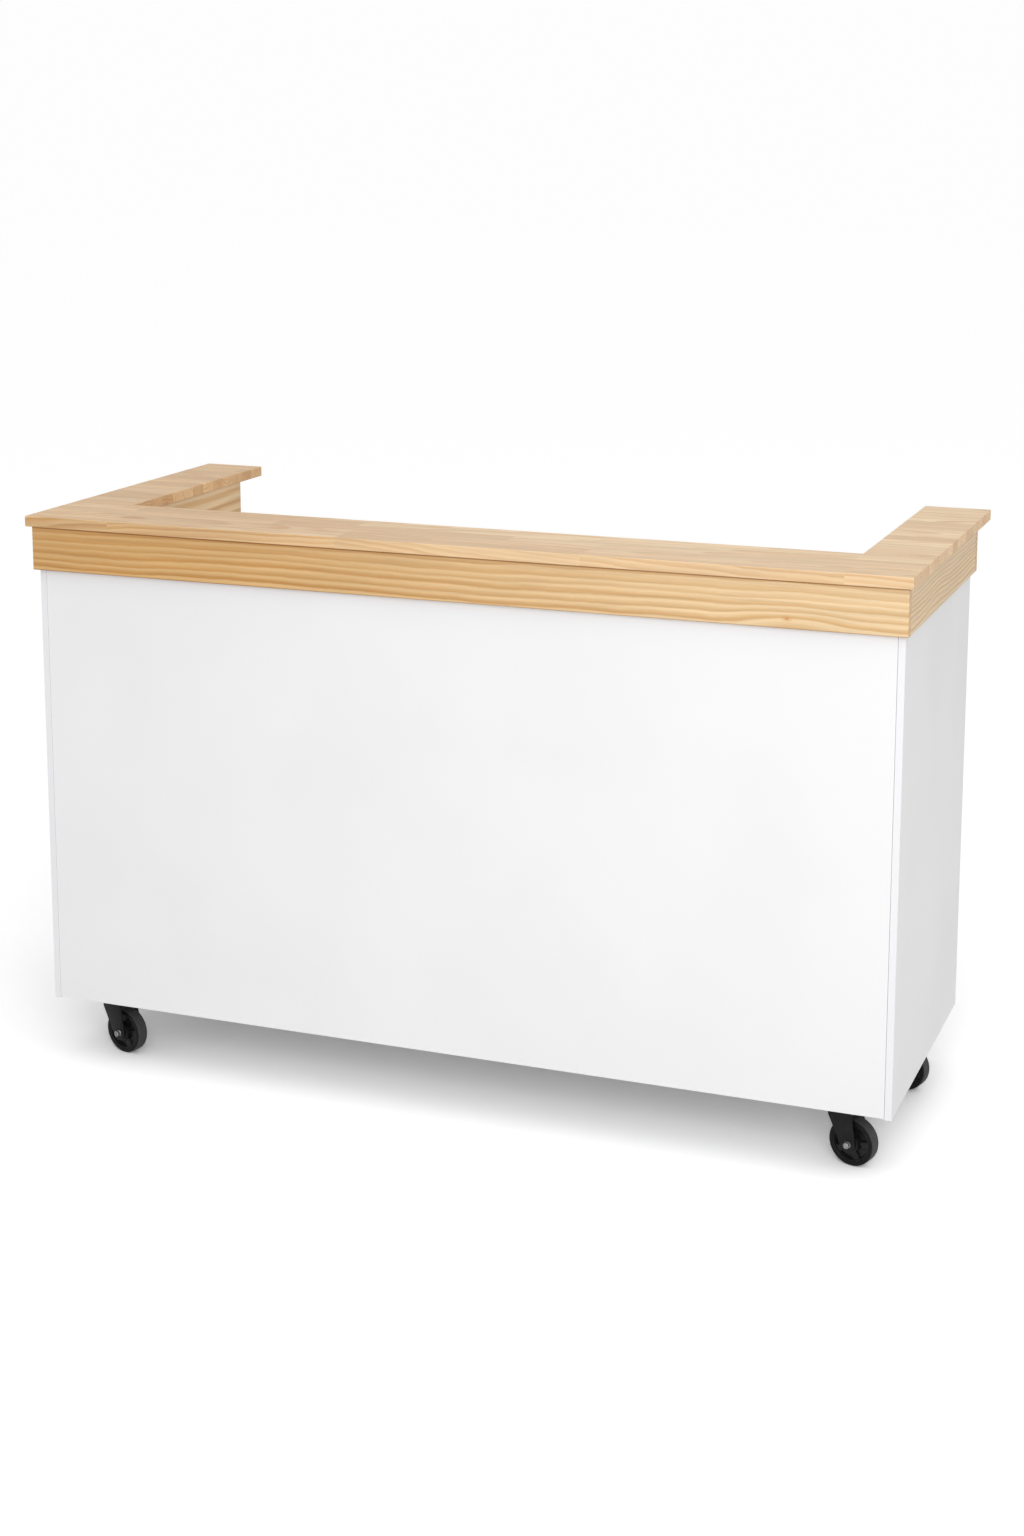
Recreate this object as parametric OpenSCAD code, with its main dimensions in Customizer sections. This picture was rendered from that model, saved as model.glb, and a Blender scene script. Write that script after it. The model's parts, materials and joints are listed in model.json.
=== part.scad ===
// Mobile bar cart. A white panel carcass rolls on four swivel casters and carries a hollow pine
// ledge, and on the ledge lies a U-shaped pine counter board. The guest side faces -Y. The server
// stands at +Y, where the carcass is open and the U leaves its top panel free as a worktop.
// The origin is on the floor under the middle of the counter board. Millimetres.

/* [Counter board] */
// Width of the counter board
counter_w = 1670; // [1450:10:1900]
// Depth of the counter board, front edge to arm ends
counter_d = 722; // [660:2:820]
// Thickness of the counter board
counter_t = 20; // [18:1:28]
// Depth of the U's front strip
strip_d = 184; // [170:2:220]
// Width of each arm of the U
arm_w = 126; // [116:2:150]
// Counter board past the front apron
overhang_front = 10; // [4:1:20]
// Counter board past the outer side aprons
overhang_side = 8.5; // [3:0.5:14]
// Counter board past the inner aprons
overhang_inner = 6; // [2:1:12]
// Counter board past the arm end boards
overhang_back = 86; // [60:2:110]

/* [Pine ledge] */
// Thickness of the apron boards
board_t = 19; // [16:1:22]
// Height of the apron boards
apron_h = 83; // [70:1:110]
// Width of the battens inside the ledge
cleat_w = 24; // [18:1:26]
// Height of the battens inside the ledge
cleat_h = 20; // [16:1:24]
// Side of the square glue blocks in the ledge corners
block_w = 30; // [24:1:30]

/* [Carcass] */
// Thickness of the front and side panels
skin_t = 12.5; // [12:0.5:16]
// Thickness of the worktop, base, divider and shelves
deck_t = 18; // [16:1:22]
// Height of the side panels
carcass_h = 846; // [760:2:900]
// Carcass behind the face of the front apron
inset_front = 14; // [8:1:15]
// Carcass inside the faces of the outer side aprons
inset_side = 6.5; // [2:0.5:10]
// Carcass ahead of the arm end boards' rear faces
inset_back = 28; // [10:1:40]
// Gap between the front panel and each side panel
reveal = 0.5; // [0.5:0.1:2]
// Front panel's lower edge above the side panels' lower edges
front_lift = 2; // [0:0.5:4]
// Divider ahead of the carcass's open rear
divider_setback = 20; // [0:2:60]

/* [Shelves] */
// Underside of the shelves above the base
shelf_h = 392; // [320:2:460]
// Shelves ahead of the carcass's open rear
shelf_setback = 40; // [10:2:80]
// Gap at each edge of a shelf
shelf_gap = 1; // [0.5:0.1:2]
// Shelf peg diameter inside its hole
peg_d = 5; // [4:0.5:6]
// Shelf peg diameter where the shelf rests
peg_head_d = 8; // [7:0.5:10]
// Depth of the shelf peg holes
peg_deep = 8; // [6:0.5:8]
// Length of the shelf peg heads
peg_head_l = 10; // [8:1:14]
// Height step of the shelf peg holes
peg_pitch = 32; // [28:1:36]
// Peg holes above and below the one in use
peg_spare = 3; // [1:1:4]
// Peg rows from the shelf's front and rear edges
peg_inset = 50; // [40:1:80]

/* [Fasteners] */
// Wood screw shank diameter
screw_d = 4; // [3:0.5:5]
// Wood screw head diameter
screw_head_d = 8; // [7:0.5:10]
// Wood screw head height
screw_head_h = 3; // [2:0.5:4]
// Wood screw line from the apron boards' inner faces
screw_line = 16; // [13:1:17]
// Hold of the counter screws in the counter board
counter_bite = 14; // [10:1:16]
// Hold of the ledge screws in the battens
ledge_bite = 16; // [10:1:16]
// Screws along the inner front batten
inner_screw_count = 4; // [2:1:6]
// Screws along each inner side batten
arm_screw_count = 2; // [2:1:4]
// Dowel diameter
dowel_d = 8; // [6:1:10]
// Dowel length
dowel_l = 30; // [26:1:36]
// Depth of a dowel in the thinner panel
dowel_deep = 8; // [7:0.5:9]
// Dowels along the front panel's top, and along its bottom
front_dowel_count = 6; // [3:1:8]
// Dowels at the divider's top, and at its bottom
divider_dowel_count = 2; // [2:1:4]
// End divider dowels from its front and rear edges
divider_dowel_end = 80; // [60:5:120]
// Cam lock diameter
cam_d = 15; // [12:1:16]
// Cam lock height
cam_h = 12.5; // [10:0.5:13.5]
// Cam lock centre from the board's edge
cam_reach = 24; // [20:1:26]
// Cam pin diameter
cam_pin_d = 6; // [5:0.5:7]
// Depth of a cam pin in the side panel
cam_pin_deep = 9; // [7:0.5:10]
// End cam locks from the front and rear edges
cam_end = 40; // [34:1:60]
// Cam locks along each side of the worktop and of the base
side_cam_count = 3; // [2:1:4]
// Play between a bolt and its hole, on the radius
bolt_play = 0.1; // [0.05:0.05:0.2]

/* [Casters] */
// Height of a caster, floor to mounting plate top
caster_h = 118; // [114:1:130]
// Wheel diameter
wheel_d = 86; // [76:1:90]
// Tread width
tread_w = 25; // [20:1:30]
// Height of the rubber tread on the wheel
tread_h = 8.5; // [6:0.5:12]
// Rounding of the tread's edges
tread_round = 2; // [1:0.5:4]
// Axle behind the kingpin
trail = 20; // [12:1:28]
// Way the wheels trail at rest, as an angle from +X
caster_turn = -15; // [-180:1:180]
// Front kingpins from the carcass's side faces
front_caster_side = 98; // [92:1:130]
// Rear kingpins from the carcass's side faces
rear_caster_side = 80; // [78:1:130]
// Front kingpins from the carcass's front face
front_caster_edge = 73; // [70:1:120]
// Rear kingpins from the carcass's open rear
rear_caster_edge = 151; // [140:1:160]
// Mounting plate length, side to side
plate_l = 92; // [88:1:100]
// Mounting plate width, front to back
plate_w = 66; // [64:1:80]
// Mounting plate thickness
plate_t = 2.5; // [2:0.5:4]
// Corner radius of the mounting plate
plate_r = 8; // [4:1:10]
// Bolt spacing along the plate
bolt_span_x = 72; // [70:1:74]
// Bolt spacing across the plate
bolt_span_y = 46; // [44:1:50]
// Plate bolt diameter
bolt_d = 6; // [5:0.5:7]
// Bolt head and nut, across flats
bolt_af = 10; // [9:0.5:12]
// Bolt head height
bolt_head_h = 4; // [3:0.5:5]
// Nut height
bolt_nut_h = 5; // [4:0.5:6]
// Nut flange diameter
bolt_flange_d = 14; // [13:0.5:16]
// Nut flange height
bolt_flange_h = 1.5; // [1:0.1:2]
// Bolt past its nut, on the plate bolts and the axle
bolt_tip = 1.5; // [1:0.5:4]
// Depth of the dish pressed into the plate
dish_h = 4; // [3:0.5:5]
// Width of the dish's sloping wall
dish_slope = 4; // [3:0.5:5]
// Floor of the dish past the swivel balls
dish_margin = 6.5; // [6:0.5:8]
// Swivel ball diameter
ball_d = 5; // [4:0.5:6]
// Swivel ball ring diameter
ball_ring_d = 30; // [28:1:32]
// Balls in the swivel ring
ball_count = 14; // [8:1:15]
// Swivel balls to the boss inside their ring
ball_gap = 1; // [0.5:0.5:1.5]
// Fork steel thickness
fork_t = 3; // [2:0.5:4]
// Fork crown past the swivel balls
crown_margin = 4.5; // [3.5:0.5:5.5]
// Wall of the dust collar round the crown
collar_w = 2; // [1:0.5:2.5]
// Height of the dust collar above the crown
collar_h = 3.5; // [2:0.5:4]
// Tread to fork leg
fork_gap = 8; // [3:0.5:10]
// Radius of a fork leg's lower end
leg_end_r = 14.5; // [10:0.5:16]
// Upright stretch at the top of a fork leg's leading edge
leg_drop = 12; // [4:1:20]
// Leading edge of a fork leg inside the crown's edge
leg_inset = 2; // [1:0.5:4]
// Radius of the fork's rounded shoulder
shoulder_r = 12; // [8:0.5:14]
// Fork's rounded shoulder past the crown
shoulder_reach = 3.5; // [2:0.5:12]
// Kingpin diameter
kingpin_d = 10; // [8:0.5:12]
// Kingpin head diameter, above and below
pin_head_d = 18; // [15:0.5:20]
// Height of the head under the crown
pin_head_h = 3.5; // [2:0.5:5]
// Height of the riveted head in the dish
rivet_h = 2.5; // [2:0.5:4]
// Axle bolt diameter
axle_d = 6; // [5:0.5:8]
// Axle head and nut, across flats
axle_af = 10; // [10:0.5:15]
// Axle head height
axle_head_h = 5.5; // [4:0.5:7]
// Depth of the dimple in the axle head
dimple_h = 1.5; // [0.5:0.5:3]
// Axle nut height
axle_nut_h = 6.5; // [5:0.5:8]
// Axle flange diameter
axle_flange_d = 12.5; // [12:0.5:20]
// Axle flange height
axle_flange_h = 1.2; // [0.8:0.2:2]
// Running clearance on the radius of a shaft
run_play = 0.08; // [0.02:0.02:0.1]
// End play between turning faces
end_play = 0.3; // [0.2:0.1:0.6]
// Wheel hub boss radius
boss_r = 17; // [12:0.5:20]
// Wall of the axle bush
bush_wall = 2.5; // [1.5:0.5:3]
// Axle bush past each face of the hub boss
bush_proud = 1.5; // [0.5:0.5:2]
// Wheel web thickness
web_t = 5; // [3:0.5:8]
// Width of the wheel's rim ring
rim_w = 3; // [2:0.5:6]
// Rim ring inside the faces of the tread
rim_inset = 1; // [0.5:0.5:2]
// Ribs between hub and rim
rib_count = 5; // [4:1:8]
// Rib thickness
rib_t = 8; // [3:0.5:10]
// Ribs inside the faces of the rim ring
rib_inset = 4; // [1:0.5:5]

/* [Hidden] */
$fn = 48;
eps = 0.01;
fuse = 1;
quarter_steps = 6;
PINE = [0.87, 0.72, 0.52];
PINE_EDGE = [0.80, 0.62, 0.40];
WHITE = [0.94, 0.94, 0.95];
INSIDE = [0.88, 0.88, 0.89];
BLACK = [0.12, 0.12, 0.12];
RUBBER = [0.22, 0.22, 0.22];
ZINC = [0.75, 0.76, 0.78];
BEECH = [0.85, 0.70, 0.50];

// Heights
deck_z = caster_h + carcass_h;
board_z = deck_z + apron_h;
worktop_z = deck_z - deck_t;
base_top = caster_h + deck_t;
shelf_z = base_top + shelf_h;
peg_z = shelf_z - peg_head_d / 2;

// Outlines in plan: half widths from the middle, and depths from front to rear
counter_x = counter_w / 2;
counter_front = -counter_d / 2;
counter_back = counter_d / 2;
notch_x = counter_x - arm_w;
notch_y = counter_front + strip_d;
apron_x = counter_x - overhang_side;
apron_front = counter_front + overhang_front;
apron_back = counter_back - overhang_back;
hollow_x = apron_x - board_t;
hollow_front = apron_front + board_t;
hollow_back = apron_back - board_t;
bay_x = notch_x + overhang_inner;
bay_y = notch_y - overhang_inner;
carcass_x = apron_x - inset_side;
carcass_front = apron_front + inset_front;
carcass_back = apron_back - inset_back;
inner_x = carcass_x - skin_t;
inner_front = carcass_front + skin_t;
divider_back = carcass_back - divider_setback;
shelf_front = inner_front + shelf_gap;
shelf_back = carcass_back - shelf_setback;

// Each screw goes through its first piece and holds in the second
counter_screw_l = cleat_h + counter_bite;
ledge_screw_l = deck_t + ledge_bite;

// Evenly spaced places from low to high, and the places midway between them
function spread(n, low, high) = [for (i = [0:n - 1]) low + (high - low) * i / (n - 1)];
function between(places) = [for (i = [0:len(places) - 2]) (places[i] + places[i + 1]) / 2];

side_cams = spread(side_cam_count, inner_front + cam_end, carcass_back - cam_end);
front_dowels = spread(front_dowel_count, -inner_x + cam_end, inner_x - cam_end);
divider_dowels = spread(divider_dowel_count, inner_front + divider_dowel_end,
    divider_back - divider_dowel_end);
peg_rows = [shelf_front + peg_inset, shelf_back - peg_inset];
peg_faces = [[-inner_x, 1], [-deck_t / 2, -1], [deck_t / 2, 1], [inner_x, -1]];

// Plan places of the screws that run up through a batten, or through the worktop into one. Those
// along the front stand between the dowels, and those along the sides between the cam locks.
screw_places = concat(
    [for (x = between(front_dowels)) [x, hollow_front + screw_line]],
    [for (x = spread(inner_screw_count, -bay_x + block_w, bay_x - block_w))
        [x, bay_y - board_t - screw_line]],
    [for (y = between(side_cams), s = [-1, 1]) [s * (hollow_x - screw_line), y]],
    [for (y = spread(arm_screw_count, bay_y + block_w, hollow_back - 2 * block_w), s = [-1, 1])
        [s * (bay_x + board_t + screw_line), y]]);

// Casters: name, kingpin place
CASTERS = [
    ["front_left", -carcass_x + front_caster_side, carcass_front + front_caster_edge],
    ["front_right", carcass_x - front_caster_side, carcass_front + front_caster_edge],
    ["rear_left", -carcass_x + rear_caster_side, carcass_back - rear_caster_edge],
    ["rear_right", carcass_x - rear_caster_side, carcass_back - rear_caster_edge]];
bolt_places = [for (c = CASTERS, i = [-1, 1], j = [-1, 1])
    [c[1] + i * bolt_span_x / 2, c[2] + j * bolt_span_y / 2]];
wheel_r = wheel_d / 2;
axle_r = axle_d / 2;
axle_flange_r = axle_flange_d / 2;
kingpin_r = kingpin_d / 2;
pin_head_r = pin_head_d / 2;
ring_in_r = (ball_ring_d - ball_d) / 2;
ring_out_r = (ball_ring_d + ball_d) / 2;
dish_r = ring_out_r + dish_margin;
race_z = caster_h - plate_t - dish_h;
crown_top = race_z - ball_d - end_play;
crown_z = crown_top - fork_t;
crown_r = ring_out_r + crown_margin;
crown_boss_r = ring_in_r - ball_gap;
crown_back = leg_inset - crown_r;
shoulder_x = crown_r + shoulder_reach - shoulder_r;
shoulder_z = crown_top - shoulder_r;
leg_y = tread_w / 2 + fork_gap;
fork_half = leg_y + fork_t;
rim_r = wheel_r - tread_h;
bush_r = axle_r + bush_wall;
bush_half = leg_y - end_play;
boss_half = bush_half - bush_proud;
rim_half = tread_w / 2 - rim_inset;
rib_half = rim_half - rib_inset;

BOARDS = ["counter_top", "apron_front", "apron_left", "apron_right", "inner_apron_front",
    "inner_apron_left", "inner_apron_right", "arm_end_left", "arm_end_right", "upper_cleats",
    "lower_cleats", "corner_blocks"];
CARCASS = ["front_panel", "side_panel_left", "side_panel_right", "worktop", "base_panel",
    "centre_divider", "shelf_left", "shelf_right"];
HARDWARE = ["cam_locks", "cam_pins", "dowels", "counter_screws", "ledge_screws", "shelf_pegs",
    "caster_bolts", "caster_nuts"];
CASTER_PIECES = ["plate", "kingpin", "swivel_balls", "fork", "axle", "wheel_hub", "tyre", "bush"];

// A box from its low corner to its high corner
module box(low, high) translate(low) cube(high - low);

// Two boxes, the second mirrored to the other side of the cart
module both_sides(low, high) {
    box(low, high);
    mirror([1, 0, 0]) box(low, high);
}

// A countersunk wood screw pointing up, its head's face at z = 0
module wood_screw(length, play = 0) {
    cylinder(d1 = screw_head_d + 2 * play, d2 = screw_d + 2 * play, h = screw_head_h);
    cylinder(d = screw_d + 2 * play, h = length);
}

module counter_screw_set(play = 0)
    for (p = screw_places) translate([p[0], p[1], board_z - cleat_h]) wood_screw(counter_screw_l, play);

module ledge_screw_set(play = 0)
    for (p = screw_places) translate([p[0], p[1], worktop_z]) wood_screw(ledge_screw_l, play);

// Pine: counter board and ledge

module counter_top() color(PINE) difference() {
    translate([0, 0, board_z]) linear_extrude(counter_t) polygon([
        [-counter_x, counter_front], [counter_x, counter_front], [counter_x, counter_back],
        [notch_x, counter_back], [notch_x, notch_y], [-notch_x, notch_y],
        [-notch_x, counter_back], [-counter_x, counter_back]]);
    counter_screw_set();
}

module apron_front() color(PINE_EDGE)
    box([-apron_x, apron_front, deck_z], [apron_x, hollow_front, board_z]);

// An outer side apron butts behind the front apron and stops at the arm end board. The inner one
// hides the end board's end from the server's bay.
module apron_side() color(PINE_EDGE)
    box([hollow_x, hollow_front, deck_z], [apron_x, hollow_back, board_z]);

module inner_apron_front() color(PINE)
    box([-bay_x - board_t, bay_y - board_t, deck_z], [bay_x + board_t, bay_y, board_z]);

module inner_apron_side() color(PINE)
    box([bay_x, bay_y, deck_z], [bay_x + board_t, apron_back, board_z]);

module arm_end() color(PINE)
    box([bay_x + board_t, hollow_back, deck_z], [apron_x, apron_back, board_z]);

// One ring of battens on the hollow side of the aprons, at the height z
module cleat_ring(z) {
    top = z + cleat_h;
    inner_face = bay_y - board_t;
    box([-hollow_x + block_w, hollow_front, z], [hollow_x - block_w, hollow_front + cleat_w, top]);
    box([-bay_x - board_t, inner_face - cleat_w, z], [bay_x + board_t, inner_face, top]);
    both_sides([hollow_x - cleat_w, hollow_front + block_w, z], [hollow_x, hollow_back - block_w, top]);
    both_sides([bay_x + board_t, inner_face, z],
        [bay_x + board_t + cleat_w, hollow_back - block_w, top]);
}

module upper_cleats() color(BEECH) difference() {
    cleat_ring(board_z - cleat_h);
    counter_screw_set(bolt_play);
}

module lower_cleats() color(BEECH) difference() {
    cleat_ring(deck_z);
    ledge_screw_set();
}

// Glue blocks the full height of the ledge, in its front, rear outer and rear inner corners
module corner_blocks() color(BEECH) {
    both_sides([hollow_x - block_w, hollow_front, deck_z], [hollow_x, hollow_front + block_w, board_z]);
    both_sides([hollow_x - block_w, hollow_back - block_w, deck_z], [hollow_x, hollow_back, board_z]);
    both_sides([bay_x + board_t, hollow_back - block_w, deck_z],
        [bay_x + board_t + block_w, hollow_back, board_z]);
}

// White panels: carcass

module dowel_set() {
    for (x = front_dowels, z = [caster_h + deck_t / 2, deck_z - deck_t / 2])
        translate([x, inner_front - dowel_deep, z]) rotate([-90, 0, 0]) cylinder(d = dowel_d, h = dowel_l);
    for (y = divider_dowels) {
        translate([0, y, base_top - dowel_deep]) cylinder(d = dowel_d, h = dowel_l);
        translate([0, y, worktop_z + dowel_deep - dowel_l]) cylinder(d = dowel_d, h = dowel_l);
    }
}

// Cam locks drop into the worktop from below and into the base from above
module cam_set() for (y = side_cams, s = [-1, 1]) {
    translate([s * (inner_x - cam_reach), y, worktop_z]) cylinder(d = cam_d, h = cam_h);
    translate([s * (inner_x - cam_reach), y, base_top - cam_h]) cylinder(d = cam_d, h = cam_h);
}

// Cam pins run from the locks into the side panels
module cam_pin_set() for (y = side_cams, s = [-1, 1], z = [worktop_z + deck_t / 2, base_top - deck_t / 2])
    translate([s * (inner_x - cam_reach), y, z]) rotate([0, s * 90, 0])
        cylinder(d = cam_pin_d, h = cam_reach + cam_pin_deep);

// Rows of blind peg holes, or the pegs' shanks, in a face at x, running away from the bay
module peg_shanks(face, low, high) for (y = peg_rows, i = [low:high])
    translate([face[0], y, peg_z + i * peg_pitch]) rotate([0, -face[1] * 90, 0])
        cylinder(d = peg_d, h = peg_deep);

module front_panel() color(WHITE) difference() {
    box([-inner_x + reveal, carcass_front, caster_h + front_lift], [inner_x - reveal, inner_front, deck_z]);
    dowel_set();
}

module side_panel(side) {
    face = side < 0 ? peg_faces[0] : peg_faces[3];
    color(WHITE) difference() {
        box([min(side * inner_x, side * carcass_x), carcass_front, caster_h],
            [max(side * inner_x, side * carcass_x), carcass_back, deck_z]);
        cam_pin_set();
        peg_shanks(face, -peg_spare, peg_spare);
    }
}

module worktop() color(WHITE) difference() {
    box([-inner_x, inner_front, worktop_z], [inner_x, carcass_back, deck_z]);
    dowel_set();
    cam_set();
    cam_pin_set();
    ledge_screw_set(bolt_play);
}

module base_panel() color(INSIDE) difference() {
    box([-inner_x, inner_front, caster_h], [inner_x, carcass_back, base_top]);
    dowel_set();
    cam_set();
    cam_pin_set();
    for (p = bolt_places) translate([p[0], p[1], caster_h - eps])
        cylinder(d = bolt_d + 2 * bolt_play, h = deck_t + 2 * eps);
}

module centre_divider() color(INSIDE) difference() {
    box([-deck_t / 2, inner_front, base_top], [deck_t / 2, divider_back, worktop_z]);
    dowel_set();
    for (face = [peg_faces[1], peg_faces[2]]) peg_shanks(face, -peg_spare, peg_spare);
}

module shelf() color(INSIDE)
    box([deck_t / 2 + shelf_gap, shelf_front, shelf_z], [inner_x - shelf_gap, shelf_back, shelf_z + deck_t]);

// Hardware

module cam_locks() color(ZINC) difference() {
    cam_set();
    cam_pin_set();
}

module cam_pins() color(ZINC) cam_pin_set();

module dowels() color(BEECH) dowel_set();

module counter_screws() color(ZINC) counter_screw_set();

module ledge_screws() color(ZINC) ledge_screw_set();

module shelf_pegs() color(ZINC) for (face = peg_faces) {
    peg_shanks(face, 0, 0);
    for (y = peg_rows) translate([face[0], y, peg_z]) rotate([0, face[1] * 90, 0])
        cylinder(d = peg_head_d, h = peg_head_l);
}

module hexagon(flats, height) cylinder(r = flats / sqrt(3), h = height, $fn = 6);

// Bolts stand with their heads under the caster plates
module caster_bolts() color(ZINC) for (p = bolt_places)
    translate([p[0], p[1], caster_h - plate_t - bolt_head_h]) {
        hexagon(bolt_af, bolt_head_h);
        cylinder(d = bolt_d, h = bolt_head_h + plate_t + deck_t + bolt_flange_h + bolt_nut_h + bolt_tip);
    }

module caster_nuts() color(ZINC) for (p = bolt_places) translate([p[0], p[1], base_top])
    difference() {
        union() {
            cylinder(d = bolt_flange_d, h = bolt_flange_h);
            translate([0, 0, bolt_flange_h]) hexagon(bolt_af, bolt_nut_h);
        }
        translate([0, 0, -eps]) cylinder(d = bolt_d, h = bolt_flange_h + bolt_nut_h + 2 * eps);
    }

// Casters, each about its kingpin at x = y = 0. Fork and wheel are made with the axle along Y and
// the wheel trailing to +X, and are then turned together.

module round_rect(length, width, radius, height) {
    x = length / 2 - radius;
    y = width / 2 - radius;
    translate([-x, -width / 2, 0]) cube([2 * x, width, height]);
    translate([-length / 2, -y, 0]) cube([length, 2 * y, height]);
    for (i = [-1, 1], j = [-1, 1]) translate([i * x, j * y, 0]) cylinder(r = radius, h = height);
}

// The plate's middle is pressed down into a dish, which is the balls' upper race
module plate() color(BLACK) {
    dish_rim = dish_r + dish_slope;
    fold = plate_t * tan(atan2(dish_h, dish_slope) / 2);
    difference() {
        translate([0, 0, caster_h - plate_t]) round_rect(plate_l, plate_w, plate_r, plate_t);
        translate([0, 0, race_z]) cylinder(r = dish_rim, h = dish_h + plate_t + eps);
        for (i = [-1, 1], j = [-1, 1]) translate([i * bolt_span_x / 2, j * bolt_span_y / 2, race_z])
            cylinder(d = bolt_d + 2 * bolt_play, h = dish_h + plate_t + eps);
    }
    rotate_extrude() polygon([
        [kingpin_r, race_z], [dish_r, race_z], [dish_rim, caster_h - plate_t],
        [dish_rim + eps, caster_h - plate_t], [dish_rim + eps, caster_h], [dish_rim - fold, caster_h],
        [dish_r - fold, race_z + plate_t], [kingpin_r, race_z + plate_t]]);
}

// Riveted over in the dish, with a broad head under the fork's crown
module kingpin() color(ZINC) {
    low = crown_z - end_play - pin_head_h;
    translate([0, 0, low]) cylinder(r = pin_head_r, h = pin_head_h);
    translate([0, 0, low]) cylinder(r = kingpin_r, h = race_z + plate_t - low + eps);
    translate([0, 0, race_z + plate_t]) cylinder(r = pin_head_r, h = rivet_h);
}

module swivel_balls() color(ZINC) for (i = [0:ball_count - 1])
    rotate([0, 0, i * 360 / ball_count])
        translate([ball_ring_d / 2, 0, race_z - ball_d / 2]) sphere(d = ball_d);

// The point where a line from p touches a circle, turned counter-clockwise round it from p
function touch_point(p, centre, r) =
    let (d = norm(p - centre), a = atan2(p[1] - centre[1], p[0] - centre[0]) + acos(r / d))
    centre + r * [cos(a), sin(a)];

// The angle of the line that touches two circles on their right
function shared_angle(low, r_low, high, r_high) =
    let (d = norm(high - low), a = atan2(high[1] - low[1], high[0] - low[0]))
    a - acos((r_low - r_high) / d);

// A fork leg seen from the front, x across and y up
module leg_outline() {
    axle = [trail, wheel_r];
    shoulder = [shoulder_x, shoulder_z];
    corner = [crown_back, crown_z - leg_drop];
    a = shared_angle(axle, leg_end_r, shoulder, shoulder_r);
    translate(axle) circle(r = leg_end_r);
    translate(shoulder) circle(r = shoulder_r);
    polygon([[crown_back, crown_top], corner, touch_point(corner, axle, leg_end_r), axle,
        axle + leg_end_r * [cos(a), sin(a)], shoulder + shoulder_r * [cos(a), sin(a)], shoulder,
        [shoulder_x, crown_top]]);
}

// Pressed fork: a crown with a ball race, two legs, and a shoulder that wraps over the wheel
module fork() color(BLACK) difference() {
    union() {
        translate([0, 0, crown_z]) cylinder(r = crown_r, h = fork_t);
        box([crown_back, -fork_half, crown_z], [shoulder_x, fork_half, crown_top]);
        for (y = [-leg_y, fork_half]) translate([0, y, 0]) rotate([90, 0, 0])
            linear_extrude(fork_t) leg_outline();
        intersection() {
            translate([shoulder_x, fork_half, shoulder_z]) rotate([90, 0, 0]) difference() {
                cylinder(r = shoulder_r, h = 2 * fork_half);
                translate([0, 0, -eps]) cylinder(r = shoulder_r - fork_t, h = 2 * (fork_half + eps));
            }
            box([shoulder_x - eps, -fork_half, shoulder_z],
                [shoulder_x + shoulder_r, fork_half, crown_top]);
        }
        translate([0, 0, crown_z]) cylinder(r = crown_boss_r, h = race_z - crown_z - end_play);
        difference() {
            translate([0, 0, crown_z]) cylinder(r = crown_r, h = fork_t + collar_h);
            translate([0, 0, crown_z - eps])
                cylinder(r = crown_r - collar_w, h = fork_t + collar_h + 2 * eps);
        }
    }
    translate([0, 0, crown_z - eps]) cylinder(r = kingpin_r + run_play, h = race_z - crown_z);
    translate([trail, fork_half + eps, wheel_r]) rotate([90, 0, 0])
        cylinder(r = axle_r, h = 2 * (fork_half + eps));
}

// A flange with a hexagon on it, standing on the plane z = 0
module flanged_hexagon(height) {
    cylinder(r = axle_flange_r, h = axle_flange_h);
    translate([0, 0, axle_flange_h]) hexagon(axle_af, height);
}

// Bolt head on the front leg, flanged nut on the rear one
module axle() color(ZINC) on_axle() {
    nut_l = axle_flange_h + axle_nut_h;
    translate([0, 0, fork_half]) difference() {
        flanged_hexagon(axle_head_h);
        translate([0, 0, axle_flange_h + axle_head_h - dimple_h]) cylinder(r = axle_r, h = dimple_h + eps);
    }
    translate([0, 0, -fork_half - nut_l - bolt_tip])
        cylinder(r = axle_r, h = 2 * fork_half + nut_l + bolt_tip + eps);
    translate([0, 0, -fork_half]) mirror([0, 0, 1]) difference() {
        flanged_hexagon(axle_nut_h);
        translate([0, 0, -eps]) cylinder(r = axle_r, h = nut_l + 2 * eps);
    }
}

// Turns a shape made about Z onto the wheel's axle
module on_axle() translate([trail, 0, wheel_r]) rotate([90, 0, 0]) children();

// Moulded wheel: a boss, a thin web with ribs, and a rim that carries the tread
module wheel_hub() color(BLACK) on_axle() difference() {
    union() {
        translate([0, 0, -boss_half]) cylinder(r = boss_r, h = 2 * boss_half);
        translate([0, 0, -web_t / 2]) cylinder(r = rim_r, h = web_t);
        difference() {
            translate([0, 0, -rim_half]) cylinder(r = rim_r, h = 2 * rim_half);
            translate([0, 0, -rim_half - eps]) cylinder(r = rim_r - rim_w, h = 2 * (rim_half + eps));
        }
        for (i = [0:rib_count - 1]) rotate([0, 0, i * 360 / rib_count])
            box([boss_r - fuse, -rib_t / 2, -rib_half], [rim_r - rim_w + fuse, rib_t / 2, rib_half]);
    }
    translate([0, 0, -boss_half - eps]) cylinder(r = bush_r, h = 2 * (boss_half + eps));
}

// A quarter of a circle, from the angle a
function arc(centre, r, a) = [for (i = [0:quarter_steps])
    let (b = a + 90 * i / quarter_steps) centre + r * [cos(b), sin(b)]];

module tyre() color(RUBBER) on_axle() {
    x = wheel_r - tread_round;
    y = tread_w / 2 - tread_round;
    rotate_extrude() polygon(concat([[rim_r, tread_w / 2], [rim_r, -tread_w / 2]],
        arc([x, -y], tread_round, -90), arc([x, y], tread_round, 0)));
}

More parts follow.
